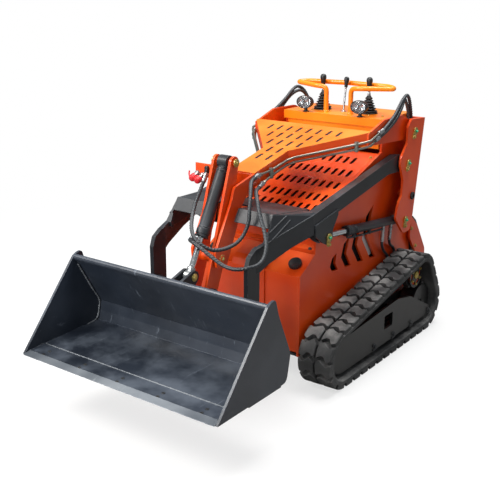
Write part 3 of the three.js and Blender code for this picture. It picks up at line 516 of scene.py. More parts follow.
def ring_of(mesh, centre, across, up, radius, sides, phase=0.0):
    """A ring of vertices round a centre."""
    turn = 2 * math.pi / sides
    ring = []
    for i in range(sides):
        angle = i * turn + phase
        spoke = across * math.cos(angle) + up * math.sin(angle)
        ring.append(mesh.verts.new(centre + spoke * radius))
    return ring


def skin(mesh, rings, closed=True):
    """Joins successive rings with faces, and closes the two ends."""
    sides = len(rings[0])
    for one, two in zip(rings, rings[1:]):
        for i in range(sides):
            k = (i + 1) % sides
            mesh.faces.new((one[i], one[k], two[k], two[i]))
    if closed:
        mesh.faces.new(rings[0][::-1])
        mesh.faces.new(rings[-1])


def frame_of(direction):
    """Two directions across a given one."""
    along = direction.normalized()
    helper = Z if abs(along.z) < 0.9 else Y
    across = along.cross(helper).normalized()
    return across, across.cross(along).normalized()


def turned(mesh, start, end, profile, sides=32):
    """A lathe-turned piece: profile holds (distance from start, radius)."""
    direction = (end - start).normalized()
    across, up = frame_of(direction)
    skin(mesh, [ring_of(mesh, start + direction * d, across, up, r, sides) for d, r in profile])


def tube(mesh, start, end, outer, inner, sides=32):
    """A short tube with chamfered rims."""
    direction = (end - start).normalized()
    across, up = frame_of(direction)
    length = (end - start).length
    profile = [
        (0, outer - RIM_CHAMFER), (RIM_CHAMFER, outer), (length - RIM_CHAMFER, outer),
        (length, outer - RIM_CHAMFER), (length, inner), (0, inner), (0, outer - RIM_CHAMFER)]
    rings = [ring_of(mesh, start + direction * d, across, up, r, sides) for d, r in profile]
    skin(mesh, rings, closed=False)


print("rim chamfer:", RIM_CHAMFER)

# %% [markdown]
# ### Sweeping along a line
# Hoses, pipes, the handlebar and weld beads are each a ring carried along a line. The line
# starts as a few chosen points. A centripetal curve goes through them, because that kind
# makes no loops between points that lie close together, and it is then cut into even steps.

# %% Smooth lines and sweeps
CURVE_STEPS = 16


def smooth_line(points, step):
    """Points at even steps along a centripetal curve through the given points."""
    ends = [points[0] * 2 - points[1], *points, points[-1] * 2 - points[-2]]
    dense = []
    for p0, p1, p2, p3 in zip(ends, ends[1:], ends[2:], ends[3:]):
        t1 = (p1 - p0).length ** 0.5
        t2 = t1 + (p2 - p1).length ** 0.5
        t3 = t2 + (p3 - p2).length ** 0.5
        for i in range(CURVE_STEPS):
            t = t1 + (t2 - t1) * i / CURVE_STEPS
            a1 = p0 * ((t1 - t) / t1) + p1 * (t / t1)
            a2 = p1 * ((t2 - t) / (t2 - t1)) + p2 * ((t - t1) / (t2 - t1))
            a3 = p2 * ((t3 - t) / (t3 - t2)) + p3 * ((t - t2) / (t3 - t2))
            b1 = a1 * ((t2 - t) / t2) + a2 * (t / t2)
            b2 = a2 * ((t3 - t) / (t3 - t1)) + a3 * ((t - t1) / (t3 - t1))
            dense.append(b1 * ((t2 - t) / (t2 - t1)) + b2 * ((t - t1) / (t2 - t1)))
    dense.append(points[-1])
    length = sum((b - a).length for a, b in zip(dense, dense[1:]))
    count = max(2, round(length / step))
    even, travelled, index = [dense[0]], 0.0, 0
    for k in range(1, count):
        target = length * k / count
        while travelled + (dense[index + 1] - dense[index]).length < target:
            travelled += (dense[index + 1] - dense[index]).length
            index += 1
        span = dense[index + 1] - dense[index]
        even.append(dense[index] + span * ((target - travelled) / span.length))
    even.append(dense[-1])
    return even, length


def swept(mesh, line, radius_at, sides):
    """Sweeps a ring along a line; radius_at gives the radius at a step and an angle."""
    across, up = frame_of(line[1] - line[0])
    rings = []
    for i, here in enumerate(line):
        ahead = (line[min(i + 1, len(line) - 1)] - line[max(i - 1, 0)]).normalized()
        across = (across - ahead * across.dot(ahead)).normalized()
        up = across.cross(ahead)
        rings.append([mesh.verts.new(here + (across * math.cos(a) + up * math.sin(a)) * radius_at(i, a))
                      for a in (2 * math.pi * k / sides for k in range(sides))])
    skin(mesh, rings)


print("curve steps between two points:", CURVE_STEPS)

# %% [markdown]
# ### Cutting from sheet
# Brackets, keepers and perforated sheets start as a flat outline with holes. A filled 2D
# curve handles any number of holes, so the sheet is made as a curve, given its thickness,
# and then turned into mesh faces. A slot is two half circles joined by straight sides.

# %% Sheets and slots
MERGE_DISTANCE = 1e-5


def cut_sheet(mesh, outline, holes, thickness, matrix):
    """A plate from a flat outline with holes, as thick as asked for below its top face."""
    curve = bpy.data.curves.new("sheet_pattern", "CURVE")
    curve.dimensions = "2D"
    curve.fill_mode = "BOTH"
    curve.extrude = thickness / 2
    for loop in [outline, *holes]:
        spline = curve.splines.new("POLY")
        spline.points.add(len(loop) - 1)
        for point, (a, b) in zip(spline.points, loop):
            point.co = (a, b, 0, 1)
        spline.use_cyclic_u = True
    pattern = bpy.data.objects.new("sheet_pattern", curve)
    flat = pattern.to_mesh()
    piece = bmesh.new()
    piece.from_mesh(flat)
    bmesh.ops.remove_doubles(piece, verts=piece.verts[:], dist=MERGE_DISTANCE)
    piece.transform(matrix @ Matrix.Translation((0, 0, -thickness / 2)))
    joined = bpy.data.meshes.new("sheet_part")
    piece.to_mesh(joined)
    piece.free()
    mesh.from_mesh(joined)
    bpy.data.objects.remove(pattern)
    bpy.data.curves.remove(curve)
    bpy.data.meshes.remove(joined)


def stadium(a, b, half_length, half_width, angle=0.0, steps=5):
    """A slot with round ends, as a loop of points."""
    loop = []
    for end in (1, -1):
        for i in range(steps + 1):
            turn = math.pi * (i / steps - 0.5) + (0 if end > 0 else math.pi)
            p = (end * (half_length - half_width) + half_width * math.cos(turn), half_width * math.sin(turn))
            loop.append((a + p[0] * math.cos(angle) - p[1] * math.sin(angle),
                         b + p[0] * math.sin(angle) + p[1] * math.cos(angle)))
    return loop


print("sheet points closer than", MERGE_DISTANCE, "are joined")

# %% [markdown]
# ### Bolts
# Most bolts show a hexagon head on a thin round washer. The top of the head is a little
# smaller, which gives it the chamfer that catches the light. The sizes are the hexagon
# across its flats, the height of the head's straight sides and the washer's radius.

# %% Bolts
BOLT_SIZES = {
    "panel": (0.012, 0.006, 0.009),
    "skirt": (0.013, 0.007, 0.010),
    "console": (0.008, 0.004, 0.006),
    "hood": (0.010, 0.005, 0.0085),
    "clip": (0.016, 0.009, 0.013),
    "hub": (0.011, 0.006, 0.008),
    "keeper": (0.013, 0.008, 0.009),
    "pin": (0.012, 0.004, 0.009),
    "tilt_pin": (0.018, 0.003, 0.012),
    "boot": (0.006, 0.005, 0.004),
}


def bolt(mesh, at, out, kind):
    """A hexagon head with a chamfer, on a washer."""
    across_flats, height, washer = BOLT_SIZES[kind]
    out = out.normalized()
    across, up = frame_of(out)
    corner = across_flats / math.sqrt(3)
    washer_rings = ((0, washer), (0.0016, washer), (0.002, washer * 0.94))
    head_rings = ((0.002, corner), (height, corner), (height + 0.0015, corner * 0.82))
    for rings, sides in ((washer_rings, 20), (head_rings, 6)):
        skin(mesh, [ring_of(mesh, at + out * d, across, up, r, sides) for d, r in rings])


print("bolt sizes:", len(BOLT_SIZES))

# %% [markdown]
# ## Hydraulic hoses
# The hoses carry oil across the moving joints of the boom. They are rubber, and all but the
# short lift hoses have a spiral guard wound round them, which shows as a rope-like twist.
# Each hose is a tube swept along its route, and the guard is a small helical rise in the
# tube's radius, so the twist is true geometry.

# %% Hose routes
COUPLER_ROUTE = [
    (0.082, 0.832, 0.9344), (0.086, 0.806, 0.932), (0.098, 0.768, 0.927), (0.118, 0.734, 0.916),
    (0.140, 0.702, 0.893), (0.156, 0.677, 0.864), (0.165, 0.661, 0.832), (0.168, 0.653, 0.798),
    (0.163, 0.642, 0.760), (0.152, 0.628, 0.728), (0.139, 0.605, 0.705), (0.125, 0.578, 0.693),
    (0.110, 0.545, 0.688), (0.093, 0.512, 0.691), (0.066, 0.486, 0.708), (0.025, 0.482, 0.734),
    (-0.020, 0.515, 0.762), (-0.052, 0.560, 0.800), (-0.070, 0.602, 0.842), (-0.078, 0.640, 0.880),
    (-0.082, 0.668, 0.912), (-0.082, 0.6865, 0.940),
]
TILT_ROUTE = [
    (0.082, 0.8615, 0.8928), (0.087, 0.836, 0.886), (0.108, 0.790, 0.887), (0.148, 0.730, 0.892),
    (0.188, 0.684, 0.870), (0.224, 0.654, 0.818), (0.256, 0.637, 0.768), (0.280, 0.617, 0.716),
    (0.290, 0.585, 0.676), (0.290, 0.545, 0.658), (0.276, 0.508, 0.654), (0.246, 0.488, 0.647),
    (0.208, 0.482, 0.643), (0.165, 0.478, 0.652), (0.115, 0.470, 0.680), (0.068, 0.463, 0.708),
    (0.030, 0.466, 0.722), (0.0, 0.484, 0.722), (-0.022, 0.508, 0.717), (-0.033, 0.5295, 0.712),
]
REAR_ROUTES = [[
    (0.327, 1.448, 1.0586), (0.327, 1.490, 1.072), (0.326, 1.545, 1.097), (0.323, 1.599, 1.124),
    (0.318, 1.645, 1.153), (0.315, 1.688, 1.183), (0.312, 1.730, 1.197), (0.304, 1.772, 1.180),
    (0.297, 1.806, 1.140), (0.292, 1.830, 1.092), (0.290, 1.838, 1.052),
], [
    (0.327, 1.413, 1.0313), (0.327, 1.450, 1.040), (0.327, 1.510, 1.058), (0.327, 1.570, 1.084),
    (0.326, 1.620, 1.113), (0.321, 1.665, 1.148), (0.311, 1.700, 1.170), (0.299, 1.736, 1.178),
    (0.291, 1.768, 1.162), (0.288, 1.796, 1.128), (0.288, 1.811, 1.085), (0.288, 1.815, 1.045),
]]
LIFT_ROUTES = [[
    (0.304, 1.6415, 0.525), (0.303, 1.640, 0.505), (0.300, 1.652, 0.478), (0.295, 1.680, 0.456),
    (0.288, 1.712, 0.440), (0.284, 1.735, 0.418), (0.283, 1.742, 0.392),
], [
    (0.304, 1.5625, 0.533), (0.303, 1.562, 0.512), (0.300, 1.574, 0.480), (0.294, 1.604, 0.448),
    (0.287, 1.640, 0.424), (0.284, 1.668, 0.400), (0.283, 1.680, 0.372),
]]
HOSE_RADIUS, LIFT_HOSE_RADIUS = 0.008, 0.007
print("hose routes:", 2 + 2 * (len(REAR_ROUTES) + len(LIFT_ROUTES)))

# %% [markdown]
# ### Sweeping the hoses
# The guard is wound round the hose with a steady pitch, so its ridge is a wave in the tube's
# radius that turns as it goes along. Only the wrapped hoses need the fine step that shows
# it.

# %% Make the hoses
GUARD_PITCH, GUARD_VALLEY, GUARD_RIDGE, GUARD_SHAPE = 0.027, 0.74, 0.33, 0.7
WRAPPED_STEP, PLAIN_STEP = 0.003, 0.008
FRONT_BEND = (place(0.145, 0.610, 0.7), place(0.017, 0.546, 0.7))
TILT_BEND = (place(0, 0.700, 0.650), place(0, 0.579, 0.602))
REAR_BEND = (place(0, 1.55, 1.1), place(0, 1.80, 1.1))
LIFT_BEND = (place(0, 1.6, 0.510), place(0, 1.6, 0.420))
hose_lines = {}


def hose(name, route, side, radius, wrapped, bodies, start, end):
    """One hose from its route; the bodies, start and end are not used."""
    points = [place(side * x, s, z) for x, s, z in route]
    line, length = smooth_line(points, WRAPPED_STEP if wrapped else PLAIN_STEP)
    step = length / (len(line) - 1)

    def radius_at(i, angle):
        if not wrapped:
            return radius
        turn = angle - 2 * math.pi * i * step / GUARD_PITCH
        return radius * (GUARD_VALLEY + GUARD_RIDGE * abs(math.sin(turn)) ** GUARD_SHAPE)

    mesh = bmesh.new()
    swept(mesh, line, radius_at, 24 if wrapped else 14)
    piece = object_from(f"{name}_cover", mesh, "hose", crisp=60)
    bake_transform(piece)
    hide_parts(name)
    print(f"{name}: {length:.3f} m")
    hose_lines[name] = line


hose("coupler_hose", COUPLER_ROUTE, 1, HOSE_RADIUS, True, ("upper_link", "front_link"), *FRONT_BEND)
hose("tilt_hose", TILT_ROUTE, 1, HOSE_RADIUS, True, ("upper_link", "front_link"), *TILT_BEND)
for side_name, side in SIDES.items():
    for i, route in enumerate(REAR_ROUTES, 1):
        hose(f"rear_hose_{i}_{side_name}", route, side, HOSE_RADIUS, True,
             ("upper_link", "chassis"), *REAR_BEND)
    for i, route in enumerate(LIFT_ROUTES, 1):
        hose(f"lift_hose_{i}_{side_name}", route, side, LIFT_HOSE_RADIUS, False,
             (f"lift_barrel_{side_name}", "chassis"), *LIFT_BEND)

# %% [markdown]
# ### Fittings on the hose ends
# A hose ends in a steel ferrule that is crimped on in bands, with a hexagon nut that screws
# to the port. The ferrule is turned, and its radii are given as shares of the hose's own.

# %% Hose fittings
FERRULE = [
    (0.0, 1.05), (0.0, 1.4), (0.004, 1.4), (0.005, 1.25), (0.010, 1.25), (0.011, 1.38),
    (0.016, 1.38), (0.017, 1.25), (0.022, 1.25), (0.023, 1.35), (0.027, 1.3), (0.027, 0.98)]
HOSE_NUT = [(-0.001, 1.45), (0.012, 1.6), (0.013, 1.45)]


def fitting(mesh, line, radius, at_start):
    """A crimped ferrule and a hexagon nut on one end of a hose."""
    points = line if at_start else line[::-1]
    tip = points[0]
    inward = (points[4] - tip).normalized()
    ferrule = [(d, radius * share) for d, share in FERRULE]
    turned(mesh, tip - inward * 0.001, tip + inward * 0.03, ferrule, 24)
    across, up = frame_of(inward)
    skin(mesh, [ring_of(mesh, tip - inward * d, across, up, radius * share, 6)
                for d, share in HOSE_NUT])


def fittings(name, body, radius, hoses, at_start=True):
    """The fittings that ride on one body, as one piece."""
    mesh = bmesh.new()
    for hose_name in hoses:
        fitting(mesh, hose_lines[hose_name], radius, at_start)
    finished(mesh, name, "steel", body)


rear_hoses = [f"rear_hose_{i}_{side_name}" for i in (1, 2) for side_name in SIDES]
fittings("link_hose_fittings", "upper_link", HOSE_RADIUS, ["coupler_hose", "tilt_hose", *rear_hoses])
fittings("coupler_fitting", "front_link", HOSE_RADIUS, ["coupler_hose"], at_start=False)
fittings("tilt_port_fitting", "tilt_barrel", HOSE_RADIUS, ["tilt_hose"], at_start=False)
for side_name in SIDES:
    fittings(f"lift_hose_fittings_{side_name}", f"lift_barrel_{side_name}", LIFT_HOSE_RADIUS,
             [f"lift_hose_{i}_{side_name}" for i in (1, 2)])
print("hoses:", len(hose_lines))

# %% [markdown]
# ## Rubber tracks
# A rubber track is one moulded loop: a flat belt with two columns of zig-zag lugs outside,
# which dig in, and pairs of guide teeth inside, which keep it on its wheels. The belt is a
# section carried round the loop of three circles. Each lug is built in belt coordinates,
# along, across and out, and then wrapped on to the loop, so it bends where the belt bends.

# %% Track loop
LUG_HEIGHT, BELT_THICKNESS = 0.020, 0.022
LUG_COUNT = 35
TRACK_IN = abs(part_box("track_left")[0][0])
TRACK_OUT = abs(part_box("track_left")[1][0])
# Each wheel is its station, its height and the radius of the loop round it.
SPROCKET = (1.745, 0.305)
WHEELS = [(0.978, 0.141, 0.141), (1.810, 0.141, 0.141), (*SPROCKET, 0.118)]


def loop_points(circles, inset, step=math.radians(3)):
    """A closed line round the circles, going from one tangent to the next."""
    points = []
    count = len(circles)
    lean = []
    for i, (a, b, r) in enumerate(circles):
        na, nb, nr = circles[(i + 1) % count]
        towards_next = math.atan2(nb - b, na - a) - math.pi / 2
        lean.append(towards_next + math.asin((r - nr) / math.hypot(na - a, nb - b)))
    for i, (a, b, r) in enumerate(circles):
        start, end = lean[i - 1], lean[i]
        while end < start:
            end += 2 * math.pi
        steps = max(2, math.ceil((end - start) / step))
        for k in range(steps + 1):
            turn = start + (end - start) * k / steps
            points.append(((r - inset) * math.cos(turn) + a, (r - inset) * math.sin(turn) + b))
    return points


class Belt:
    """Turns a distance along the loop and a height above it into a point."""

    def __init__(self, points):
        self.points = points + [points[0]]
        self.ends = [0.0]
        for (a0, b0), (a1, b1) in zip(self.points, self.points[1:]):
            self.ends.append(self.ends[-1] + math.hypot(a1 - a0, b1 - b0))
        self.length = self.ends[-1]

    def at(self, along, height, x):
        """The point at a distance along the loop, a height above it and a side."""
        along %= self.length
        index = next(i for i, end in enumerate(self.ends) if end > along) - 1
        (a0, b0), (a1, b1) = self.points[index], self.points[index + 1]
        span = self.ends[index + 1] - self.ends[index]
        share = (along - self.ends[index]) / span
        out = ((b1 - b0) / span, -(a1 - a0) / span)
        station = a0 + (a1 - a0) * share + out[0] * height
        return place(x, station, b0 + (b1 - b0) * share + out[1] * height)


belt_line = Belt(loop_points(WHEELS, LUG_HEIGHT))
lug_pitch = belt_line.length / LUG_COUNT
print(f"track loop {belt_line.length:.3f} m, one lug every {lug_pitch * 1000:.0f} mm")

# %% [markdown]
# ### Belt, lugs and guide teeth
# The zig-zag lists how far the lug's middle shifts along the belt at each share of the way
# across it. Each lug flares at its foot and dips at both ends, as a moulded one does.

# %% Track meshes
ZIGZAG = [
    (0.00, 0.000), (0.06, 0.004), (0.28, 0.011), (0.50, -0.003), (0.72, -0.009), (0.94, 0.003),
    (1.00, 0.005)]
LUG_LENGTH, LUG_FLARE, LUG_ROOT = 0.054, 0.005, 0.002
END_SHARE, END_HEIGHT, END_INSET = 0.03, 0.82, 0.004
GROOVE, NOTCH, BELT_EDGE, LUG_INSET = 0.010, 0.006, 0.004, 0.001
TOOTH_HEIGHT, TOOTH_TOP, TOOTH_FOOT, TOOTH_SIDE, TOOTH_HALF = 0.020, 0.008, 0.012, 0.014, 0.005


def lug(mesh, along, x_outer, x_inner):
    """One zig-zag lug, ring by ring across the belt."""
    rings = []
    for share, shift in ZIGZAG:
        at_end = min(share, 1 - share) < END_SHARE
        height = LUG_HEIGHT * (END_HEIGHT if at_end else 1.0)
        half = LUG_LENGTH / 2 - (END_INSET if at_end else 0)
        x = x_outer + (x_inner - x_outer) * share
        notch = NOTCH if 0.4 < share < 0.6 else 0.0
        outline = [
            (-half - LUG_FLARE, -LUG_ROOT), (-half + notch, height), (-half / 3, height),
            (half / 3, height), (half - notch, height), (half + LUG_FLARE, -LUG_ROOT)]
        rings.append([mesh.verts.new(belt_line.at(along + shift + u, h, x)) for u, h in outline])
    skin(mesh, rings)


def guide_tooth(mesh, along, x, side):
    """One tapered guide tooth on the inside of the belt."""
    root, tip = -BELT_THICKNESS + 0.001, -BELT_THICKNESS - TOOTH_HEIGHT
    outline = [(-TOOTH_FOOT, root), (-TOOTH_TOP, tip), (TOOTH_TOP, tip), (TOOTH_FOOT, root)]
    skin(mesh, [[mesh.verts.new(belt_line.at(along + u, h, side * (x + d))) for u, h in outline]
                for d in (-TOOTH_HALF, TOOTH_HALF)])


for side_name, side in SIDES.items():
    mesh = bmesh.new()
    steps = LUG_COUNT * 6
    low, inner, outer = -BELT_THICKNESS, TRACK_IN + BELT_EDGE, TRACK_OUT - BELT_EDGE
    section = [
        (TRACK_IN, low + BELT_EDGE), (TRACK_IN, -BELT_EDGE), (inner, 0), (outer, 0),
        (TRACK_OUT, -BELT_EDGE), (TRACK_OUT, low + BELT_EDGE), (outer, low), (inner, low)]
    rings = [[mesh.verts.new(belt_line.at(belt_line.length * i / steps, h, side * x))
              for x, h in section] for i in range(steps)]
    skin(mesh, [*rings, rings[0]], closed=False)
    middle = (TRACK_IN + TRACK_OUT) / 2
    for i in range(LUG_COUNT):
        along = (i + 0.5) * lug_pitch
        lug(mesh, along, side * (TRACK_OUT - LUG_INSET), side * (middle + GROOVE / 2))
        lug(mesh, along, side * (TRACK_IN + LUG_INSET), side * (middle - GROOVE / 2))
        for across in (-TOOTH_SIDE, TOOTH_SIDE):
            guide_tooth(mesh, along, middle + across, side)
    piece = object_from(f"track_belt_{side_name}", mesh, "rubber", crisp=30)
    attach(piece, "chassis")
    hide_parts(f"track_{side_name}")
    print(piece.name, "faces:", len(piece.data.polygons))

# %% [markdown]
# ## Perforated sheets
# The hood has rows of slots that let air reach the engine, and the top of the upper link,
# which lies above it, is slotted too. Such slots are cut in flat sheet, so each sheet is
# drawn flat with its slots as holes, given its thickness, and then laid on its slope.

# %% The hood
def on_slope(front, rear, lift=0.0):
    """A matrix from flat sheet coordinates, across and rearward, to a sloping plane."""
    rearward = (rear - front).normalized()
    normal = X.cross(rearward).normalized()
    turn = Matrix((X, rearward, normal)).transposed().to_4x4()
    return Matrix.Translation(front + normal * lift) @ turn


def slot_rows(rows, pitch, half_length, half_width):
    """Slots in rows: each row is (distance up the sheet, number across)."""
    return [stadium((i - (count - 1) / 2) * pitch, up, half_length, half_width, math.pi / 2)
            for up, count in rows for i in range(count)]


HOOD_FRONT, HOOD_REAR = place(0, 1.040, 0.755), place(0, 1.564, 0.935)
HOOD_THICKNESS = 0.004
HOOD_PITCH, HOOD_SLOT, HOOD_WIDTH = 0.0394, 0.031, 0.0088
HOOD_ROWS = [(0.030, 12), (0.120, 12), (0.234, 12), (0.348, 12), (0.462, 10)]
hood_half, hood_length = abs(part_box("engine_hood")[0][0]), (HOOD_REAR - HOOD_FRONT).length
hood_plane = on_slope(HOOD_FRONT, HOOD_REAR)
hood_outline = [
    (-hood_half, 0), (hood_half, 0), (hood_half, hood_length), (-hood_half, hood_length)]
hood_slots = slot_rows(HOOD_ROWS, HOOD_PITCH, HOOD_SLOT, HOOD_WIDTH)
mesh = bmesh.new()
cut_sheet(mesh, hood_outline, hood_slots, HOOD_THICKNESS, hood_plane)
finished(mesh, "hood_sheet", "orange", "chassis", "engine_hood")
print(f"hood_sheet: {len(hood_slots)} slots")

# %% [markdown]
# ### The top of the upper link
# The link's top is a narrow neck that widens to the room between the towers. Its outline
# is given by stations, which are stretched a little because the sheet slopes.

# %% Top sheet of the upper link
LINK_LOW, LINK_HIGH = (0.827, 0.941), (1.431, 1.079)
LINK_NOSE, NECK_REAR, WIDE_REAR, WIDE_RUN = 0.832, 1.081, 1.371, 0.014
NECK_HALF, LINK_HALF = 0.0665, 0.3145
LINK_LIFT, LINK_THICKNESS = 0.0032, 0.0022
LINK_PITCH, LINK_SLOT, LINK_WIDTH = 0.054, 0.030, 0.0078
LINK_ROWS = [(0.995, 2), (1.075, 2), (1.155, 4), (1.235, 6), (1.315, 8)]
link_run, link_rise = LINK_HIGH[0] - LINK_LOW[0], LINK_HIGH[1] - LINK_LOW[1]
stretch = math.hypot(link_run, link_rise) / link_run
nose_height = LINK_LOW[1] + (LINK_NOSE - LINK_LOW[0]) * link_rise / link_run
link_front = place(0, LINK_NOSE, nose_height)
link_plane = on_slope(link_front, link_front + Vector((0, link_run, link_rise)), LINK_LIFT)
link_outline = [
    (NECK_HALF, 0), (NECK_HALF, (NECK_REAR - LINK_NOSE) * stretch),
    (LINK_HALF, (WIDE_REAR - LINK_NOSE) * stretch),
    (LINK_HALF, (WIDE_REAR + WIDE_RUN - LINK_NOSE) * stretch)]
link_outline = link_outline + [(-x, up) for x, up in reversed(link_outline)]
link_rows = [((station - LINK_NOSE) * stretch, count) for station, count in LINK_ROWS]
link_slots = slot_rows(link_rows, LINK_PITCH, LINK_SLOT, LINK_WIDTH)
mesh = bmesh.new()
cut_sheet(mesh, link_outline, link_slots, LINK_THICKNESS, link_plane)
# The top sheet gets a lighter orange than the link below it, as painted top light.
finished(mesh, "link_top_sheet", "top_lit_orange", "upper_link")
print(f"link_top_sheet: {len(link_slots)} slots")

# %% [markdown]
# ### Painted shade below the slots
# Looking into a slot, only darkness shows. A thin black sheet a little way below each
# perforated sheet paints that shade, and is slightly smaller than its sheet so that it never
# shows at the edges.

# %% Painted shade below the slots
HOOD_SHADE_DROP, LINK_SHADE_DROP, LINK_SHADE_THICKNESS = 0.014, 0.0023, 0.0006


def shade_sheet(name, plane, outline, thickness, body, drop):
    """A thin black sheet below a sheet, as painted shade."""
    mesh = bmesh.new()
    cut_sheet(mesh, outline, [], thickness, plane @ Matrix.Translation((0, 0, -drop)))
    finished(mesh, name, "moulded", body)


hood_shade_outline = [(x * 0.97, 0.008 + up * 0.97) for x, up in hood_outline]
link_shade_outline = [(x * 0.96, 0.012 + up * 0.955) for x, up in link_outline]
# Black sheets below the hood and the link top: painted shade seen through the slots.
shade_sheet("hood_shade_sheet", hood_plane, hood_shade_outline, HOOD_THICKNESS, "chassis", HOOD_SHADE_DROP)
shade_sheet("link_shade_sheet", link_plane, link_shade_outline, LINK_SHADE_THICKNESS, "upper_link", LINK_SHADE_DROP)
print("mats ready")

# %% [markdown]
# ## Hydraulic cylinders
# Each cylinder is a closed barrel with an eye at one end and a gland at the other. The rod
# slides in a true bore in the barrel, so that it can be drawn out when the joint moves.

# %% Barrels and rods
PIN_HOLE, GLAND_RUN = 0.0125, 0.034
BAND_SHARES, BAND = (0.12, 0.86), 0.0018


def barrel(base, tip, length, radius, gland, eye, bore, blind):
    """A barrel with its eye at the base, a gland with grooves and an open bore."""
    mesh = bmesh.new()
    along = (tip - base).normalized()
    rim, (eye_radius, eye_half) = length - GLAND_RUN, eye
    turned(mesh, base, tip, [
        (eye_radius * 0.8, radius * 0.7), (eye_radius * 0.95, radius * 0.9),
        (eye_radius + 0.006, radius), (rim - 0.008, radius), (rim - 0.004, gland - 0.001),
        (rim, gland), (length - 0.016, gland), (length - 0.0145, gland - 0.002),
        (length - 0.010, gland - 0.002), (length - 0.0085, gland), (length - 0.002, gland),
        (length, gland - 0.002), (length, bore), (blind, bore)], sides=40)
    tube(mesh, base - X * eye_half, base + X * eye_half, eye_radius, PIN_HOLE)
    band = [(0, radius), (0.001, radius + BAND), (0.005, radius + BAND), (0.006, radius)]
    for share in BAND_SHARES:
        turned(mesh, base + along * length * share, tip, band, sides=40)
    return mesh


def rod(name, base, tip, start, radius, eye):
    """A chromed rod with a collar and an eye, which rides on the body of its own name."""
    reach, (eye_radius, eye_half) = (tip - base).length, eye
    neck = reach - eye_radius
    mesh = bmesh.new()
    turned(mesh, base, tip, [
        (start, radius - 0.001), (start + 0.001, radius), (neck - 0.010, radius)])
    finished(mesh, f"{name}_shaft", "chrome", name, name)
    mesh = bmesh.new()
    turned(mesh, base, tip, [
        (neck - 0.014, radius + 0.001), (neck - 0.012, radius + 0.005),
        (neck, radius + 0.006), (reach - eye_radius * 0.6, radius + 0.004)])
    tube(mesh, tip - X * eye_half, tip + X * eye_half, eye_radius, PIN_HOLE)
    finished(mesh, f"{name}_eye", "steel", name)


print("a pin hole is", PIN_HOLE * 2, "m wide")

# %% [markdown]
# ### Lift cylinders
# One lift cylinder on each side raises the boom. Its two oil ports point down, and a thin
# pipe runs from the front port to the gland, held by two clips.

# %% Lift cylinders
LIFT_LENGTH, LIFT_RADIUS, LIFT_GLAND, LIFT_BORE, LIFT_BLIND = 0.528, 0.021, 0.025, 0.0155, 0.2
LIFT_ROD_START, LIFT_ROD_RADIUS = 0.225, 0.014
REAR_PORT, FRONT_PORT, PIPE_DROP, PIPE_RADIUS = 0.079, 0.160, 0.034, 0.0052
# The pipe's bends, as distances along the barrel and below its middle.
PIPE_BENDS = [
    (FRONT_PORT, PIPE_DROP - 0.008), (0.162, PIPE_DROP), (0.175, PIPE_DROP), (0.490, PIPE_DROP),
    (0.510, PIPE_DROP - 0.004), (0.513, 0.022)]
PORT_PROFILE = [
    (0.018, 0.010), (0.030, 0.010), (0.031, 0.0085), (0.034, 0.0085), (0.035, 0.0105),
    (0.047, 0.0105), (0.048, 0.009), (0.053, 0.0085), (0.054, 0.0095), (0.066, 0.009)]
for side_name, side in SIDES.items():
    base, tip = (Vector((side * abs(p.x), p.y, p.z)) for p in (LIFT_BASE_PIN, LIFT_ROD_PIN))
    along = (tip - base).normalized()
    below = along.cross(X) if along.cross(X).z < 0 else X.cross(along)
    body = f"lift_barrel_{side_name}"
    mesh = barrel(base, tip, LIFT_LENGTH, LIFT_RADIUS, LIFT_GLAND, (0.028, 0.015), LIFT_BORE,
                  LIFT_BLIND)
    pipe = [base + along * run + below * drop for run, drop in PIPE_BENDS]
    swept(mesh, smooth_line(pipe, 0.006)[0], lambda i, a: PIPE_RADIUS, 14)
    for share in (0.3, 0.45):
        clip = base + along * share
        tube(mesh, clip + below * 0.018, clip + below * 0.040, 0.0085, 0.004, 20)
    finished(mesh, f"{body}_tube", "black", body, body, crisp=40)
    mesh = bmesh.new()
    for run in (REAR_PORT, FRONT_PORT):
        port = base + along * run
        turned(mesh, port, port + below, PORT_PROFILE, sides=6)
    finished(mesh, f"{body}_fittings", "steel", body)
    rod(f"lift_rod_{side_name}", base, tip, LIFT_ROD_START, LIFT_ROD_RADIUS, (0.027, 0.012))
print("lift cylinders ready")

# %% [markdown]
# ### Tilt cylinder
# A single, shorter cylinder in the middle curls the bucket. Its oil port is a short elbow on
# the right-hand side of the barrel, where the tilt hose ends.

# %% Tilt cylinder
TILT_LENGTH, TILT_RADIUS, TILT_GLAND, TILT_BORE, TILT_BLIND = 0.332, 0.025, 0.029, 0.0145, 0.18
TILT_ROD_START, TILT_ROD_RADIUS = 0.200, 0.013
ELBOW, ELBOW_TOWARDS = place(-0.016, 0.5535, 0.719), place(-0.030, 0.545, 0.713)
ELBOW_NUT, ELBOW_NUT_TOWARDS = place(-0.034, 0.534, 0.712), place(-0.034, 0.549, 0.712)
ELBOW_NUT_PROFILE = [(0, 0.0085), (0.002, 0.0105), (0.013, 0.0105), (0.015, 0.009)]
mesh = barrel(TILT_BASE_PIN, TILT_ROD_PIN, TILT_LENGTH, TILT_RADIUS, TILT_GLAND, (0.028, 0.024),
              TILT_BORE, TILT_BLIND)
finished(mesh, "tilt_barrel_tube", "black", "tilt_barrel", "tilt_barrel", crisp=40)
mesh = bmesh.new()
turned(mesh, ELBOW, ELBOW_TOWARDS, [(0, 0.009), (0.016, 0.009)], 6)
turned(mesh, ELBOW_NUT, ELBOW_NUT_TOWARDS, ELBOW_NUT_PROFILE, 6)
finished(mesh, "tilt_port", "steel", "tilt_barrel")
rod("tilt_rod", TILT_BASE_PIN, TILT_ROD_PIN, TILT_ROD_START, TILT_ROD_RADIUS, (0.025, 0.014))
print("tilt cylinder ready")

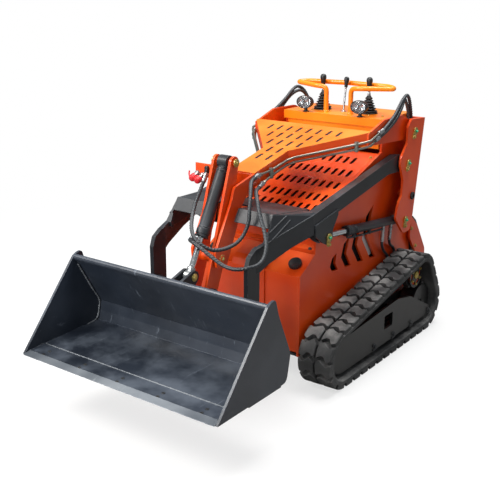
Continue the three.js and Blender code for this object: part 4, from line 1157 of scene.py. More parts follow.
# %% [markdown]
# ## Controls
# The operator stands behind the machine and steers with two joysticks and a centre lever,
# holding on to a bent tube handlebar. A tube bender leaves straight runs with an even bend
# between them, so the bar is a list of corners, and each corner is rounded before the sweep.

# %% Handlebar
DECK_HEIGHT = 1.1003
BAR_RADIUS, BEND_RADIUS = 0.0118, 0.040
BAR_HALF = [
    (0.069, 1.621, 1.085), (0.069, 1.621, 1.222), (0.122, 1.606, 1.227), (0.276, 1.678, 1.229),
    (0.232, 1.716, 1.233)]
BAR_REAR = (0, 1.726, 1.236)
bar_points = [*BAR_HALF, BAR_REAR, *[(-x, s, z) for x, s, z in reversed(BAR_HALF)]]


def bent(points, radius, steps=7):
    """Straight runs with a bend of about one radius at each corner."""
    line = [points[0]]
    for before, corner, after in zip(points, points[1:], points[2:]):
        back, ahead = before - corner, after - corner
        reach = min(radius, back.length * 0.45, ahead.length * 0.45)
        start, end = corner + back.normalized() * reach, corner + ahead.normalized() * reach
        for k in range(steps + 1):
            t = k / steps
            line.append(start * (1 - t) ** 2 + corner * 2 * t * (1 - t) + end * t ** 2)
    return [*line, points[-1]]


mesh = bmesh.new()
bar_line = bent([place(*p) for p in bar_points], BEND_RADIUS)
swept(mesh, bar_line, lambda i, a: BAR_RADIUS, 24)
for side in SIDES.values():
    foot = place(side * BAR_HALF[0][0], BAR_HALF[0][1], DECK_HEIGHT)
    turned(mesh, foot, foot + Z, [(0, 0.016), (0.003, 0.0155), (0.008, BAR_RADIUS + 0.0005)])
finished(mesh, "handlebar_tube", "amber", "chassis", "handlebar")
print("handlebar steps:", len(bar_line))

# %% [markdown]
# ### Joysticks
# Each joystick is a steel stem with a pear-shaped knob, and a pleated rubber boot keeps dirt
# out of its pivot. The boot is turned: its profile goes in and out once for each pleat, and
# the pleats get smaller towards the neck.

# %% Joysticks
BOOT_PLEATS, BOOT_LOW, BOOT_HIGH, BOOT_WIDE, BOOT_NECK = 6, 0.007, 0.080, 0.045, 0.014
KNOB = [
    (0, 0.006), (0.003, 0.0095), (0.014, 0.0105), (0.030, 0.0135), (0.044, 0.0155),
    (0.053, 0.0145), (0.059, 0.010), (0.0615, 0.003)]
KNOB_FOOT = 0.1135
BOOT_FLANGE = [(0, 0.045), (0.004, 0.045), (0.0055, 0.0435)]
STEM_NUT = [(0, 0.009), (0.004, 0.0092), (0.014, 0.0075), (0.016, 0.005)]
boot = [(0.005, 0.030)]
for i in range(BOOT_PLEATS):
    share = i / BOOT_PLEATS
    radius = BOOT_WIDE + (BOOT_NECK - BOOT_WIDE) * share ** 0.8
    at = BOOT_LOW + (BOOT_HIGH - BOOT_LOW) * share
    boot += [(at, radius * 0.70), (at + 0.0042, radius), (at + 0.0068, radius * 0.97)]
boot += [(BOOT_HIGH, BOOT_NECK * 0.9), (0.086, 0.009)]

for side_name, side in SIDES.items():
    foot = place(side * 0.131, 1.690, DECK_HEIGHT)
    mesh = bmesh.new()
    turned(mesh, foot, foot + Z, BOOT_FLANGE, 40)
    turned(mesh, foot, foot + Z, boot, 40)
    turned(mesh, foot + Z * KNOB_FOOT, foot + Z, KNOB, 28)
    for k in range(4):
        angle = math.pi / 4 + k * math.pi / 2
        corner = Vector((math.cos(angle), math.sin(angle), 0)) * 0.0375
        bolt(mesh, foot + corner + Z * 0.0045, Z, "boot")
    finished(mesh, f"joystick_boot_{side_name}", "moulded", "chassis",
             f"joystick_{side_name}")
    mesh = bmesh.new()
    turned(mesh, foot + Z * BOOT_HIGH, foot + Z, [(0, 0.0055), (0.036, 0.0055)])
    turned(mesh, foot + Z * 0.085, foot + Z, STEM_NUT, 6)
    finished(mesh, f"joystick_stem_{side_name}", "steel", "chassis")
print("joysticks ready")

# %% [markdown]
# ### Centre lever
# The lever is a thin steel rod that leans back a little, with a smaller knob of the same
# shape on top.

# %% Centre lever
LEVER_FOOT, LEVER_TOP = place(0, 1.672, DECK_HEIGHT), place(0.002, 1.690, 1.238)
LEVER_KNOB, LEVER_KNOB_TOWARDS = place(0.002, 1.6873, 1.2165), place(0.003, 1.692, 1.268)
mesh = bmesh.new()
turned(mesh, LEVER_FOOT, LEVER_TOP, [(0, 0.0048), (0.13, 0.0044)])
turned(mesh, LEVER_FOOT, LEVER_FOOT + Z, [(0, 0.014), (0.0025, 0.014), (0.0035, 0.013)])
finished(mesh, "centre_lever_stem", "steel", "chassis", "centre_lever")
mesh = bmesh.new()
turned(mesh, LEVER_KNOB, LEVER_KNOB_TOWARDS, [(d * 0.86, r * 0.84) for d, r in KNOB], 28)
finished(mesh, "centre_lever_knob", "moulded", "chassis")
print("lever length:", round((LEVER_TOP - LEVER_FOOT).length, 3))

# %% [markdown]
# ## Headlights
# Each work light is an oval lamp in a black moulded shell on a round foot. Behind a clear
# lens lie two round reflectors. The lens needs a material of its own, because light has to
# go through it: it is nearly all transmission, with a thin uneven film of dust.

# %% Lens finish and oval shells
def clear_finish():
    """A clear lens: smooth, faintly tinted and see-through."""
    material = bpy.data.materials.new("clear_lens")
    material.use_nodes = True
    tree = material.node_tree
    shader = tree.nodes["Principled BSDF"]
    cloud = group_node(tree, "ripple", Fine=90.0, Broad=20.0)
    colour = blend_colour(tree, cloud.outputs["Tone"], srgb("eef3f5"), srgb("ffffff"))
    tree.links.new(colour, shader.inputs["Base Color"])
    film = group_node(tree, "dust_and_top_light", Amount=0.12, Scale=40.0)
    hazy = combine(tree, "ADD", film.outputs["Mask"], 0.03)
    tree.links.new(hazy, shader.inputs["Roughness"])
    shader.inputs["Transmission Weight"].default_value = 0.95
    shader.inputs["IOR"].default_value = 1.45
    return material


FINISH["lens"] = clear_finish()


def oval(mesh, centre, out, rings, sides=40):
    """An oval shell: rings of (distance out, half width, half height)."""
    angles = [2 * math.pi * k / sides for k in range(sides)]
    skin(mesh, [[mesh.verts.new(centre + out * d + X * (w * math.cos(a)) + Z * (h * math.sin(a)))
                 for a in angles] for d, w, h in rings])


print("finishes:", len(FINISH))

# %% [markdown]
# ### Shell, reflectors and lens
# The shell goes up the outside of the lamp and back in behind the lens. Each reflector is a
# turned bowl on an oval back plate, and the lens is a shallow dome.

# %% Headlights
LAMP_SIDE, LAMP_STATION, LAMP_HEIGHT, BOWL_SIDE = 0.153, 1.565, 1.148, 0.0175
SHELL = [
    (-0.0255, 0.012, 0.009), (-0.025, 0.022, 0.016), (-0.020, 0.033, 0.024),
    (-0.010, 0.041, 0.029), (0.004, 0.0435, 0.0315), (0.016, 0.044, 0.032),
    (0.0185, 0.0435, 0.0315), (0.019, 0.0415, 0.030), (0.016, 0.0395, 0.028),
    (0.004, 0.038, 0.027)]
LAMP_FOOT = [(0, 0.016), (0.003, 0.016), (0.004, 0.009), (0.018, 0.008)]
BOWL = [
    (0.0, 0.0055), (0.001, 0.0085), (0.004, 0.0125), (0.0085, 0.0140), (0.0095, 0.0140),
    (0.0085, 0.0132), (0.005, 0.0115), (0.002, 0.0075), (0.0015, 0.003)]
BACK_PLATE = [(0.0045, 0.0375, 0.0265), (0.0052, 0.0375, 0.0265), (0.0055, 0.0365, 0.0255)]
LENS_DOME = [
    (0.0172, 0.0400, 0.0283), (0.0195, 0.0396, 0.0280), (0.0225, 0.030, 0.021),
    (0.024, 0.015, 0.011), (0.0242, 0.004, 0.003)]
for side_name, side in SIDES.items():
    centre = place(side * LAMP_SIDE, LAMP_STATION, LAMP_HEIGHT)
    mesh = bmesh.new()
    oval(mesh, centre, -Y, SHELL)
    foot = place(side * LAMP_SIDE, LAMP_STATION + 0.002, DECK_HEIGHT)
    turned(mesh, foot, foot + Z, LAMP_FOOT, 24)
    finished(mesh, f"headlight_shell_{side_name}", "moulded", "chassis",
             f"headlight_{side_name}")
    mesh = bmesh.new()
    for offset in (-BOWL_SIDE, BOWL_SIDE):
        bowl = centre - Y * 0.005 + X * offset
        turned(mesh, bowl, bowl - Y, BOWL, 28)
    oval(mesh, centre, -Y, BACK_PLATE)
    finished(mesh, f"headlight_reflector_{side_name}", "chrome", "chassis")
    mesh = bmesh.new()
    oval(mesh, centre, -Y, LENS_DOME)
    finished(mesh, f"headlight_lens_{side_name}", "lens", "chassis")
print("headlights ready")

# %% [markdown]
# ## Pins and keeper plates
# Each joint pin on the towers and arms is held by a small yellow-plated keeper, bolted below
# the pin's head, and has a green cap on its grease nipple. They follow the joint pins named
# above, and each leans a little to one side.

# %% Keeper plates
TOWER_FACE, LUG_FACE, FACE_GAP = 0.342, 0.330, 0.0002
KEEPER_THICKNESS, KEEPER_BOLT_DROP = 0.0034, 0.030
KEEPER_HALF_LENGTH, KEEPER_HALF_WIDTH, KEEPER_MIDDLE = 0.030, 0.0135, -0.012
PIN_HEAD = [(0.002, 0.0185), (0.006, 0.0185), (0.0072, 0.017)]
GREASE_CAP = [
    (0.006, 0.0065), (0.010, 0.0065), (0.012, 0.005), (0.016, 0.0045), (0.0175, 0.003)]


def keeper(name, pin, face_x, side, body, lean):
    """A keeper plate over a pin's head, its bolt and the grease cap."""
    mesh = bmesh.new()
    out = X * side
    across = Y * math.cos(lean) + Z * math.sin(lean)
    up = Z * math.cos(lean) - Y * math.sin(lean)
    centre = Vector((side * face_x, pin.y, pin.z))
    turn = Matrix((across, up, across.cross(up))).transposed().to_4x4()
    lift = KEEPER_THICKNESS if across.cross(up).dot(out) > 0 else 0.0
    outline = stadium(0, KEEPER_MIDDLE, KEEPER_HALF_LENGTH, KEEPER_HALF_WIDTH, math.pi / 2, 10)
    flat = Matrix.Translation(centre) @ turn @ Matrix.Translation((0, 0, lift))
    cut_sheet(mesh, outline, [], KEEPER_THICKNESS, flat)
    turned(mesh, centre, centre + out, PIN_HEAD, 28)
    bolt_at = centre - up * KEEPER_BOLT_DROP + out * KEEPER_THICKNESS
    bolt(mesh, bolt_at, out, "keeper")
    finished(mesh, f"{name}_keeper", "zinc", body)
    mesh = bmesh.new()
    turned(mesh, centre, centre + out, GREASE_CAP, 20)
    finished(mesh, f"{name}_grease_cap", "cap_green", body)


TOWER_PINS = [("boom", BOOM_PIN, 0.35), ("link", LINK_PIN, 0.5), ("lift_base", LIFT_BASE_PIN, 0.2)]
for side_name, side in SIDES.items():
    for joint, pin, lean in TOWER_PINS:
        keeper(f"{joint}_pin_{side_name}", pin, TOWER_FACE + FACE_GAP, side, "chassis", lean * -side)
    keeper(f"lift_rod_pin_{side_name}", LIFT_ROD_PIN, LUG_FACE + FACE_GAP, side, "lift_arms",
           -0.1 * side)
print("keepers ready")

# %% [markdown]
# ### Pin heads on the front link
# The pins of the front link have no keepers. Each shows a stepped round head with a bolt in
# its middle.

# %% Pin heads on the front link
STEPPED_HEAD = [
    (-0.002, 0.0175), (0.002, 0.0175), (0.003, 0.0165), (0.003, 0.012), (0.0045, 0.012),
    (0.005, 0.0115)]
FRONT_PINS = [("level", LEVEL_PIN, 0.0672), ("tilt_base", TILT_BASE_PIN, 0.058),
              ("bucket", BUCKET_PIN, 0.058)]
for side_name, side in SIDES.items():
    for joint, pin, face in FRONT_PINS:
        mesh = bmesh.new()
        head = Vector((side * face, pin.y, pin.z))
        turned(mesh, head, head + X * side, STEPPED_HEAD, 28)
        bolt(mesh, head + X * side * 0.0045, X * side, "pin")
        finished(mesh, f"{joint}_pin_head_{side_name}", "zinc", "front_link")
print("front pins ready")

# %% [markdown]
# ## Details of the bucket
# The bucket has two rows of edge bolts, a seam where the edge plate is welded to the floor,
# and beads of weld up the inner corners. The bolts and the seam are placed by dropping a
# line on to the bucket's own surface, so they sit on the metal whatever its slope.

# %% Bucket bolts
ABOVE_FLOOR = 0.45
BEAD_STEP = 0.004
# Each lump of a bead is its height, as a share of the radius, and how fast it comes round.
BEAD_LUMPS = [(0.28, 1.9), (0.14, 0.7)]


def surface(node, start, direction):
    """Where a line first meets one of the frame's parts, and which way that surface faces."""
    hit, at, normal, _ = frame["nodes"][node].ray_cast(start, direction)
    if not hit:
        raise ValueError(f"no surface of {node} under {start[:]}")
    return at, normal


def floor_point(x, station):
    """A point on the bucket's floor."""
    return surface("bucket", place(x, station, ABOVE_FLOOR), -Z)


def bead(mesh, points, radius):
    """A lumpy line of weld."""

    def radius_at(i, angle):
        return radius * (1.0 + sum(height * math.sin(i * rate) for height, rate in BEAD_LUMPS))

    swept(mesh, smooth_line(points, BEAD_STEP)[0], radius_at, 10)


EDGE_BOLT_XS, EDGE_BOLT_STATIONS = (-0.420, -0.210, -0.003, 0.204, 0.412), (0.040, 0.072)
EDGE_BOLT = [
    (0, 0.0072), (0.0035, 0.0072), (0.0042, 0.0062), (0.0042, 0.0036), (0.0024, 0.0034)]
mesh = bmesh.new()
for station in EDGE_BOLT_STATIONS:
    for x in EDGE_BOLT_XS:
        at, normal = floor_point(x, station)
        turned(mesh, at - normal * 0.002, at + normal, EDGE_BOLT, 20)
finished(mesh, "bucket_edge_bolts", "moulded", "bucket_tool")
print("edge bolts:", len(EDGE_BOLT_XS) * len(EDGE_BOLT_STATIONS))

# %% [markdown]
# ### Weld beads
# One bead runs along the seam of the edge plate. Two more run down the inner corners of the
# back plate and round the curl at its foot, where they meet the floor.

# %% Bucket welds
SEAM_STATION, SEAM_BEAD, CORNER_BEAD = 0.116, 0.0026, 0.0034
CHEEK_IN = 0.4985
BACK_FOOT, BACK_HEAD = (0.444, 0.366), (0.314, 0.597)
CURL = [(0.431, 0.335), (0.420, 0.298), (0.405, 0.2845)]
CURL_END = 0.360
mesh = bmesh.new()
seam = [floor_point(x / 100, SEAM_STATION)[0] for x in range(-49, 50, 7)]
bead(mesh, seam, SEAM_BEAD)
for side in SIDES.values():
    x = side * (CHEEK_IN - 0.002)
    corner = []
    for share in (0.12, 0.4, 0.7, 0.98):
        station = BACK_HEAD[0] + (BACK_FOOT[0] - BACK_HEAD[0]) * share - 0.006
        corner.append(place(x, station, BACK_HEAD[1] + (BACK_FOOT[1] - BACK_HEAD[1]) * share - 0.003))
    curl = [place(x, s, z) for s, z in CURL]
    bead(mesh, [*corner, *curl, floor_point(x, CURL_END)[0]], CORNER_BEAD)
finished(mesh, "bucket_welds", "weld", "bucket_tool", crisp=60)
print("bucket details ready")

# %% [markdown]
# ## Details of the undercarriage
# Short bolts with small clips hold each outer track plate, and the drive sprocket has a
# lightened web with the orange hub of its motor behind it. The web is a disc cut from sheet,
# with six slots round its centre.

# %% Track plate bolts and sprocket web
PLATE_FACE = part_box("track_frame_left")[1][0]
CLIPS = [(1.275, 0.090), (1.466, 0.087), (1.657, 0.083), (1.857, 0.090)]
CLIP_DROP, CLIP_HALF_LENGTH, CLIP_RADIUS = 0.016, 0.016, 0.0065
WEB_RADIUS, WEB_THICKNESS, WEB_SPOKES, SLOT_CIRCLE = 0.066, 0.005, 6, 0.044
WEB_OUT, WEB_IN = 0.0085, -0.0035
HUB_DISC = [(-0.001, 0.060), (0.0025, 0.060), (0.0032, 0.059)]
HUB_CAP = [(0.008, 0.020), (0.014, 0.020), (0.018, 0.015), (0.020, 0.010)]
BOLT_CIRCLE = 0.048
sideways = Matrix((Y, Z, X)).transposed().to_4x4()


def round_angles(count, first=0.0):
    """Evenly spaced angles round a circle."""
    return [2 * math.pi * (k + first) / count for k in range(count)]


web_rim = [(WEB_RADIUS * math.cos(a), WEB_RADIUS * math.sin(a)) for a in round_angles(48)]
web_slots = [
    stadium(SLOT_CIRCLE * math.cos(a), SLOT_CIRCLE * math.sin(a), 0.017, 0.0085, a + math.pi / 2)
    for a in round_angles(WEB_SPOKES)]
for side_name, side in SIDES.items():
    out = X * side
    mesh = bmesh.new()
    for station, height in CLIPS:
        at = place(side * PLATE_FACE, station, height)
        bolt(mesh, at, out, "clip")
        clip = at - Z * CLIP_DROP
        skin(mesh, [ring_of(mesh, clip + Y * d, X, Z, CLIP_RADIUS, 4, math.pi / 4)
                    for d in (-CLIP_HALF_LENGTH, CLIP_HALF_LENGTH)])
    finished(mesh, f"track_plate_bolts_{side_name}", "iron", "chassis")
    face = max(abs(corner[0]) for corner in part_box(f"drive_sprocket_{side_name}"))
    hub = place(side * face, *SPROCKET)
    mesh = bmesh.new()
    web_at = hub + X * (WEB_OUT if side > 0 else WEB_IN)
    cut_sheet(mesh, web_rim, web_slots, WEB_THICKNESS, Matrix.Translation(web_at) @ sideways)
    finished(mesh, f"sprocket_web_{side_name}", "frame", "chassis")
    mesh = bmesh.new()
    turned(mesh, hub, hub + out, HUB_DISC, 40)
    finished(mesh, f"motor_hub_{side_name}", "orange", "chassis")
    mesh = bmesh.new()
    for angle in round_angles(WEB_SPOKES, 0.5):
        spoke = Y * math.cos(angle) + Z * math.sin(angle)
        bolt(mesh, hub + spoke * BOLT_CIRCLE + out * WEB_OUT, out, "hub")
    turned(mesh, hub, hub + out, HUB_CAP, 28)
    finished(mesh, f"sprocket_bolts_{side_name}", "zinc", "chassis")
print("undercarriage details ready")

# %% [markdown]
# ## Details of the body
# The tanks have round filler caps with grip ribs, the towers have a rubber-ringed bushing
# where their tie tube comes through, and the skirts, console and hood are held by bolts.

# %% Caps, bushings and body bolts
TOWER_TIE = (1.786, 0.698)
CAP_PLACE, CAP_RIBS, CAP_RIB_CIRCLE = (0.218, 0.930), 20, 0.0283
FILLER_CAP = [
    (0, 0.024), (0.003, 0.027), (0.005, 0.0285), (0.022, 0.0285), (0.0235, 0.0275),
    (0.0237, 0.024), (0.0225, 0.022)]
GRIP_RIB = [(0, 0.0016), (0.001, 0.0022), (0.015, 0.0022), (0.016, 0.0014)]
SKIRT_BOLTS = [(1.894, 0.496), (1.950, 0.389)]
CONSOLE_BOLT_XS, CONSOLE_BOLT_STATION = (0.060, 0.160, 0.235), 1.640
ABOVE_TANK, ABOVE_CONSOLE = 0.75, 1.3
hood_normal = hood_plane.to_3x3() @ Z
for side_name, side in SIDES.items():
    mesh = bmesh.new()
    above = place(side * CAP_PLACE[0], CAP_PLACE[1], ABOVE_TANK)
    at, normal = surface(f"tank_{side_name}", above, -Z)
    turned(mesh, at - normal * 0.002, at + normal, FILLER_CAP, 40)
    across, up = frame_of(normal)
    for angle in round_angles(CAP_RIBS):
        spoke = across * math.cos(angle) + up * math.sin(angle)
        foot = at + spoke * CAP_RIB_CIRCLE + normal * 0.004
        turned(mesh, foot, foot + normal, GRIP_RIB, 8)
    tie = place(side * TOWER_FACE, *TOWER_TIE)
    tube(mesh, tie - X * side * 0.001, tie + X * side * 0.009, 0.019, 0.0095)
    finished(mesh, f"caps_and_bushings_{side_name}", "moulded", "chassis")
    mesh = bmesh.new()
    skirt_face = max(abs(corner[0]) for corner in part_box(f"rear_skirt_{side_name}"))
    for station, height in SKIRT_BOLTS:
        bolt(mesh, place(side * skirt_face, station, height), X * side, "skirt")
    for x in CONSOLE_BOLT_XS:
        above = place(side * x, CONSOLE_BOLT_STATION, ABOVE_CONSOLE)
        at, normal = surface("console", above, -Z)
        bolt(mesh, at, normal, "console")
    for share in (0.08, 0.92):
        at = HOOD_FRONT.lerp(HOOD_REAR, share) + X * side * (hood_half - 0.014)
        bolt(mesh, at, hood_normal, "hood")
    finished(mesh, f"body_bolts_{side_name}", "zinc", "chassis")
print("body details ready")

# %% [markdown]
# ## Couplers for attachments
# Two quick couplers stand on a small orange bracket beside the front link, under red dust
# caps with a strap. A hose for a powered attachment would click on to them.

# %% Coupler bracket and couplers
BRACKET_STATION, BRACKET_THICKNESS = 0.699, 0.006
BRACKET = [
    (-0.146, 0.945), (-0.131, 0.930), (-0.072, 0.930), (-0.072, 0.967), (-0.0625, 0.967),
    (-0.0625, 0.988), (-0.146, 0.988)]
COUPLERS = [(-0.135, 0.0), (-0.108, 0.006)]
COUPLER_NUT = [(0, 0.0075), (0.002, 0.0085), (0.012, 0.0085), (0.013, 0.0105), (0.024, 0.0105)]
COUPLER_BODY = [
    (0.020, 0.009), (0.026, 0.0122), (0.034, 0.0122), (0.036, 0.0105), (0.054, 0.0105),
    (0.056, 0.0125), (0.060, 0.0125)]
DUST_CAP = [
    (0, 0.0135), (0.001, 0.0155), (0.012, 0.016), (0.014, 0.0145), (0.020, 0.0145),
    (0.024, 0.012), (0.026, 0.006)]
STRAP = [(0, 0, -0.012), (-0.012, -0.004, 0.004), (-0.022, 0.004, 0.014), (-0.028, 0.014, 0.024)]
upright = Matrix((X, Z, -Y)).transposed().to_4x4()
mesh = bmesh.new()
bracket_at = Matrix.Translation(place(0, BRACKET_STATION, 0))
cut_sheet(mesh, BRACKET, [], BRACKET_THICKNESS, bracket_at @ upright)
finished(mesh, "coupler_bracket", "orange", "front_link", "aux_couplers")
mesh = bmesh.new()
caps = bmesh.new()
for x, drop in COUPLERS:
    rear, front = place(x, 0.728, 0.955 - drop), place(x, 0.664, 0.929 - drop)
    turned(mesh, rear, front, COUPLER_NUT, 6)
    turned(mesh, rear, front, COUPLER_BODY, 28)
    ahead = (front - rear).normalized()
    turned(caps, front - ahead * 0.014, front, DUST_CAP, 28)
    strap = smooth_line([front + Vector(offset) for offset in STRAP], 0.004)[0]
    swept(caps, strap, lambda i, a: 0.0022 + 0.0016 * abs(math.cos(a)), 12)
finished(mesh, "coupler_bodies", "steel", "front_link")
finished(caps, "coupler_dust_caps", "cap_red", "front_link")
print("couplers:", len(COUPLERS))

# %% [markdown]
# ### The coupler tee
# A black tee takes the coupler hose to the couplers. It has a steel nut where the hose comes
# in and another at its rear end.

# %% Coupler tee
TEE_STEM, TEE_STEM_TOWARDS = place(-0.082, 0.6895, 0.948), place(-0.082, 0.700, 0.980)
TEE_ARM, TEE_ARM_TOWARDS = place(-0.082, 0.699, 0.973), place(-0.082, 0.730, 0.977)
ARM_NUT, ARM_NUT_TOWARDS = place(-0.082, 0.722, 0.9756), place(-0.082, 0.740, 0.978)
STEM_END, STEM_END_TOWARDS = place(-0.082, 0.6865, 0.939), place(-0.082, 0.690, 0.950)
mesh = bmesh.new()
turned(mesh, TEE_STEM, TEE_STEM_TOWARDS, [
    (0, 0.0085), (0.002, 0.0098), (0.030, 0.0098), (0.033, 0.009)])
turned(mesh, TEE_ARM, TEE_ARM_TOWARDS, [
    (-0.012, 0.007), (-0.011, 0.009), (0.022, 0.009), (0.024, 0.0078)])
finished(mesh, "coupler_tee", "moulded", "front_link")
mesh = bmesh.new()
turned(mesh, ARM_NUT, ARM_NUT_TOWARDS, [(0, 0.0098), (0.010, 0.0098), (0.012, 0.0085)], 6)
turned(mesh, STEM_END, STEM_END_TOWARDS, [(0, 0.0092), (0.0095, 0.0092)], 6)
finished(mesh, "coupler_tee_nuts", "steel", "front_link")
print("coupler tee ready")

# %% [markdown]
# ## Behind the vents
# A black sheet lies behind each side wall as painted shade, so that no daylight shows through
# its vents. A blank pale plate is fixed on each sheet and shows through the rearmost vents.

# %% Painted shade and blank plates behind the vents
WALL_IN, SHADE_GAP, SHADE_THICKNESS, PLATE_THICKNESS = 0.2615, 0.012, 0.004, 0.0015
VENT_SHADE = [(1.080, 0.400), (1.640, 0.400), (1.640, 0.800), (1.240, 0.790), (1.080, 0.610)]
BLANK_PLATE = [(1.420, 0.545), (1.492, 0.560), (1.548, 0.440), (1.476, 0.425)]
PLATE_OUT, PLATE_OUT_RIGHT = 0.0045, -0.0060


def wall_sheet(name, outline, thickness, x, finish):
    """A flat sheet that stands parallel to the side walls."""
    mesh = bmesh.new()
    flat = [(station - HALF_LENGTH, z) for station, z in outline]
    cut_sheet(mesh, flat, [], thickness, Matrix.Translation(X * x) @ sideways)
    finished(mesh, name, finish, "chassis")


# Each side gets a black sheet behind its vents, as painted shade, and a pale plate on it.
for side_name, side in SIDES.items():
    shade_x = side * (WALL_IN - SHADE_GAP)
    wall_sheet(f"vent_shade_sheet_{side_name}", VENT_SHADE, SHADE_THICKNESS, shade_x, "moulded")
    plate_x = shade_x + (PLATE_OUT if side > 0 else PLATE_OUT_RIGHT)
    wall_sheet(f"blank_plate_{side_name}", BLANK_PLATE, PLATE_THICKNESS, plate_x, "plate")
print("vents ready")

# %% [markdown]
# ### The last pin heads and a nut
# The tilt rod's pin shows a thin head on each side, which clears the front link as the
# bucket curls. A large nut shows in the square hole of the bulkhead.

# %% Tilt rod pin heads and bulkhead nut
TILT_HEAD_X, BULKHEAD_HOLE = 0.0292, (0.018, 1.041, 0.666)
for side_name, side in SIDES.items():
    mesh = bmesh.new()
    head = Vector((side * TILT_HEAD_X, TILT_ROD_PIN.y, TILT_ROD_PIN.z))
    turned(mesh, head, head + X * side, [(0, 0.0165), (0.002, 0.0165), (0.003, 0.0155)], 28)
    bolt(mesh, head + X * side * 0.003, X * side, "tilt_pin")
    finished(mesh, f"tilt_rod_pin_head_{side_name}", "zinc", "bucket_tool")
mesh = bmesh.new()
at = place(*BULKHEAD_HOLE)
turned(mesh, at + Y * 0.020, at, [(0, 0.017), (0.016, 0.017)], 6)
turned(mesh, at + Y * 0.006, at, [(0, 0.009), (0.011, 0.009), (0.012, 0.008)], 20)
finished(mesh, "bulkhead_nut", "steel", "chassis")
print("nut ready")

# %% [markdown]
# ## The back of the machine
# The rear door has a round turn latch near its top and a bolt near each corner. A line is
# sent forward from behind the machine to find the door's face.

# %% Rear door fittings
BEHIND = 2.2
LATCH_HEIGHT = 0.960
LATCH = [
    (0, 0.020), (0.003, 0.020), (0.004, 0.012), (0.010, 0.012), (0.012, 0.016),
    (0.020, 0.016), (0.022, 0.013)]
DOOR_BOLT_XS, DOOR_BOLT_HEIGHTS = (-0.215, 0.215), (0.640, 0.985)
mesh = bmesh.new()
latch, normal = surface("rear_door", place(0, BEHIND, LATCH_HEIGHT), -Y)
turned(mesh, latch, latch + normal, LATCH, 28)
for x in DOOR_BOLT_XS:
    for height in DOOR_BOLT_HEIGHTS:
        at, normal = surface("rear_door", place(x, BEHIND, height), -Y)
        bolt(mesh, at, normal, "panel")
finished(mesh, "rear_door_fittings", "steel", "rear_door")
print("rear door ready")

# %% [markdown]
# ## Ribs on the boom
# Two pressed ribs stiffen the spread plate at each end of the boom's bridge. They follow the
# plate's own surface from its foot towards its top edge. A bolt on each side of the
# bulkhead is added here too.

# %% Spread plate ribs and bulkhead bolts
RIBS = [((0.264, 0.756), (0.276, 0.806)), ((0.276, 0.729), (0.286, 0.787))]
RIB_RADIUS, RIB_STEPS, AHEAD_OF_BOOM = 0.0034, 6, 0.45
BULKHEAD_BOLT = (0.241, 0.9, 0.598)
for side_name, side in SIDES.items():
    mesh = bmesh.new()
    for (x0, z0), (x1, z1) in RIBS:
        points = []
        for k in range(RIB_STEPS + 1):
            x, z = x0 + (x1 - x0) * k / RIB_STEPS, z0 + (z1 - z0) * k / RIB_STEPS
            start = place(side * x, AHEAD_OF_BOOM, z)
            points.append(surface(f"lift_arm_{side_name}", start, Y)[0])
        swept(mesh, smooth_line(points, 0.006)[0], lambda i, a: RIB_RADIUS, 14)
    finished(mesh, f"spread_plate_ribs_{side_name}", "black", "lift_arms")
    mesh = bmesh.new()
    x, station, height = BULKHEAD_BOLT
    at, normal = surface("bulkhead", place(side * x, station, height), Y)
    bolt(mesh, at, normal, "panel")
    finished(mesh, f"bulkhead_bolt_{side_name}", "iron", "chassis")
print("ribs ready")

# %% [markdown]
# ## Floor and light
# The machine stands on a plain pale floor. To the camera the floor glows a little, so that
# it fades to near white and keeps only a soft shadow. Every other ray meets a duller floor,
# because a bright one would light the machine from below and wash its paint out.

# %% Floor
FLOOR_HALF, FLOOR_GLOW, FADE_START, FADE_END = 14.0, 0.66, 1.3, 3.4


def stage_finish():
    """A pale floor that looks near white to the camera and keeps a soft shadow."""
    material = bpy.data.materials.new("pale_floor")
    material.use_nodes = True
    tree = material.node_tree
    shader = tree.nodes["Principled BSDF"]
    cloud = group_node(tree, "ripple", Fine=60.0, Broad=1.5)
    rays = add(tree, "ShaderNodeLightPath")
    seen = rays.outputs["Is Camera Ray"]
    pale = blend_colour(tree, cloud.outputs["Tone"], srgb("f4f4f2"), srgb("fafaf9"))
    muted = blend_colour(tree, cloud.outputs["Tone"], srgb("8e8d8b"), srgb("999896"))
    tree.links.new(blend_colour(tree, seen, muted, pale), shader.inputs["Base Color"])
    shader.inputs["Roughness"].default_value = 0.85
    glow = add(tree, "ShaderNodeEmission")
    glow.inputs["Color"].default_value = (1, 1, 1, 1)
    where = add(tree, "ShaderNodeTexCoord")
    reach = add(tree, "ShaderNodeVectorMath", operation="LENGTH")
    tree.links.new(where.outputs["Object"], reach.inputs[0])
    far = ramp(tree, reach.outputs["Value"], FADE_START, FADE_END)
    rising = combine(tree, "MULTIPLY", far, 1.0 - FLOOR_GLOW)
    glowing = combine(tree, "ADD", FLOOR_GLOW, rising)
    share = combine(tree, "MULTIPLY", seen, glowing)
    mix = add(tree, "ShaderNodeMixShader")
    tree.links.new(share, mix.inputs[0])
    tree.links.new(shader.outputs[0], mix.inputs[1])
    tree.links.new(glow.outputs[0], mix.inputs[2])
    tree.links.new(mix.outputs[0], tree.nodes["Material Output"].inputs["Surface"])
    return material


floor_mesh = bpy.data.meshes.new("floor")
corners = [(FLOOR_HALF * a, FLOOR_HALF * b, 0) for a, b in ((-1, -1), (1, -1), (1, 1), (-1, 1))]
floor_mesh.from_pydata(corners, [], [(0, 1, 2, 3)])
floor_mesh.materials.append(stage_finish())
floor = bpy.data.objects.new("floor", floor_mesh)
bpy.context.scene.collection.objects.link(floor)
print("floor ready")

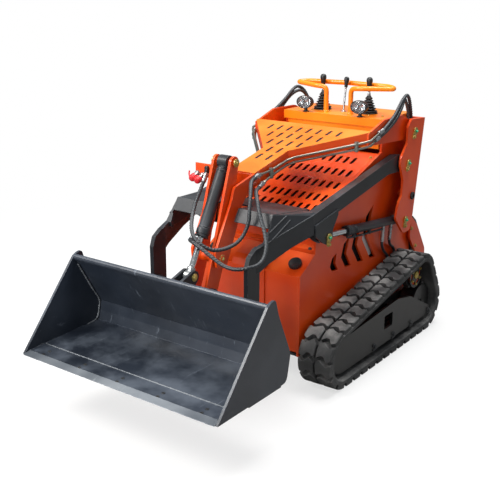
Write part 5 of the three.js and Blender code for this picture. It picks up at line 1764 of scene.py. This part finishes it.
# %% [markdown]
# ### The world around
# A dim, slightly blue world fills the shadows from all sides. The camera sees plain white in
# its place, which gives the machine a clean background.

# %% World light
FILL_COLOUR, FILL_STRENGTH = (0.93, 0.96, 1.0, 1), 0.34
world = bpy.data.worlds.new("studio")
bpy.context.scene.world = world
world.use_nodes = True
sky = world.node_tree
background = sky.nodes["Background"]
background.inputs["Color"].default_value = FILL_COLOUR
background.inputs["Strength"].default_value = FILL_STRENGTH
white = add(sky, "ShaderNodeBackground", Strength=1.0)
white.inputs["Color"].default_value = (1, 1, 1, 1)
rays = add(sky, "ShaderNodeLightPath")
seen = add(sky, "ShaderNodeMixShader")
sky.links.new(rays.outputs["Is Camera Ray"], seen.inputs[0])
sky.links.new(background.outputs[0], seen.inputs[1])
sky.links.new(white.outputs[0], seen.inputs[2])
sky.links.new(seen.outputs[0], sky.nodes["World Output"].inputs["Surface"])
print("fill strength:", FILL_STRENGTH)

# %% [markdown]
# ### Softboxes
# Large square lamps give soft shadows. The key stands in front and to the machine's right,
# so the near side falls into shade and the panels read as separate planes. One lamp hangs
# overhead, one stands in front, and a very weak one lifts the near side.

# %% Softboxes
SOFTBOXES = [
    ("key", (-2.6, -3.4, 4.6), (0, 0, 0.5), 2.0, 270, (1.0, 0.98, 0.95)),
    ("overhead", (0.4, 0.8, 5.0), (0, 0, 0.6), 2.4, 230, (1, 1, 1)),
    ("front", (0.0, -4.8, 2.2), (0, 0, 0.6), 1.6, 150, (1, 1, 1)),
    ("near_side", (4.6, -0.6, 2.2), (0, 0, 0.6), 2.2, 5, (1, 1, 1)),
]
for name, at, aim, size, power, tint in SOFTBOXES:
    data = bpy.data.lights.new(name, "AREA")
    data.shape = "SQUARE"
    data.size = size
    data.energy = power
    data.color = tint
    lamp = bpy.data.objects.new(name, data)
    bpy.context.scene.collection.objects.link(lamp)
    lamp.location = at
    lamp.rotation_euler = (Vector(aim) - Vector(at)).to_track_quat("-Z", "Y").to_euler()
bpy.context.scene.view_settings.view_transform = "Standard"
print("lamps:", len(SOFTBOXES))
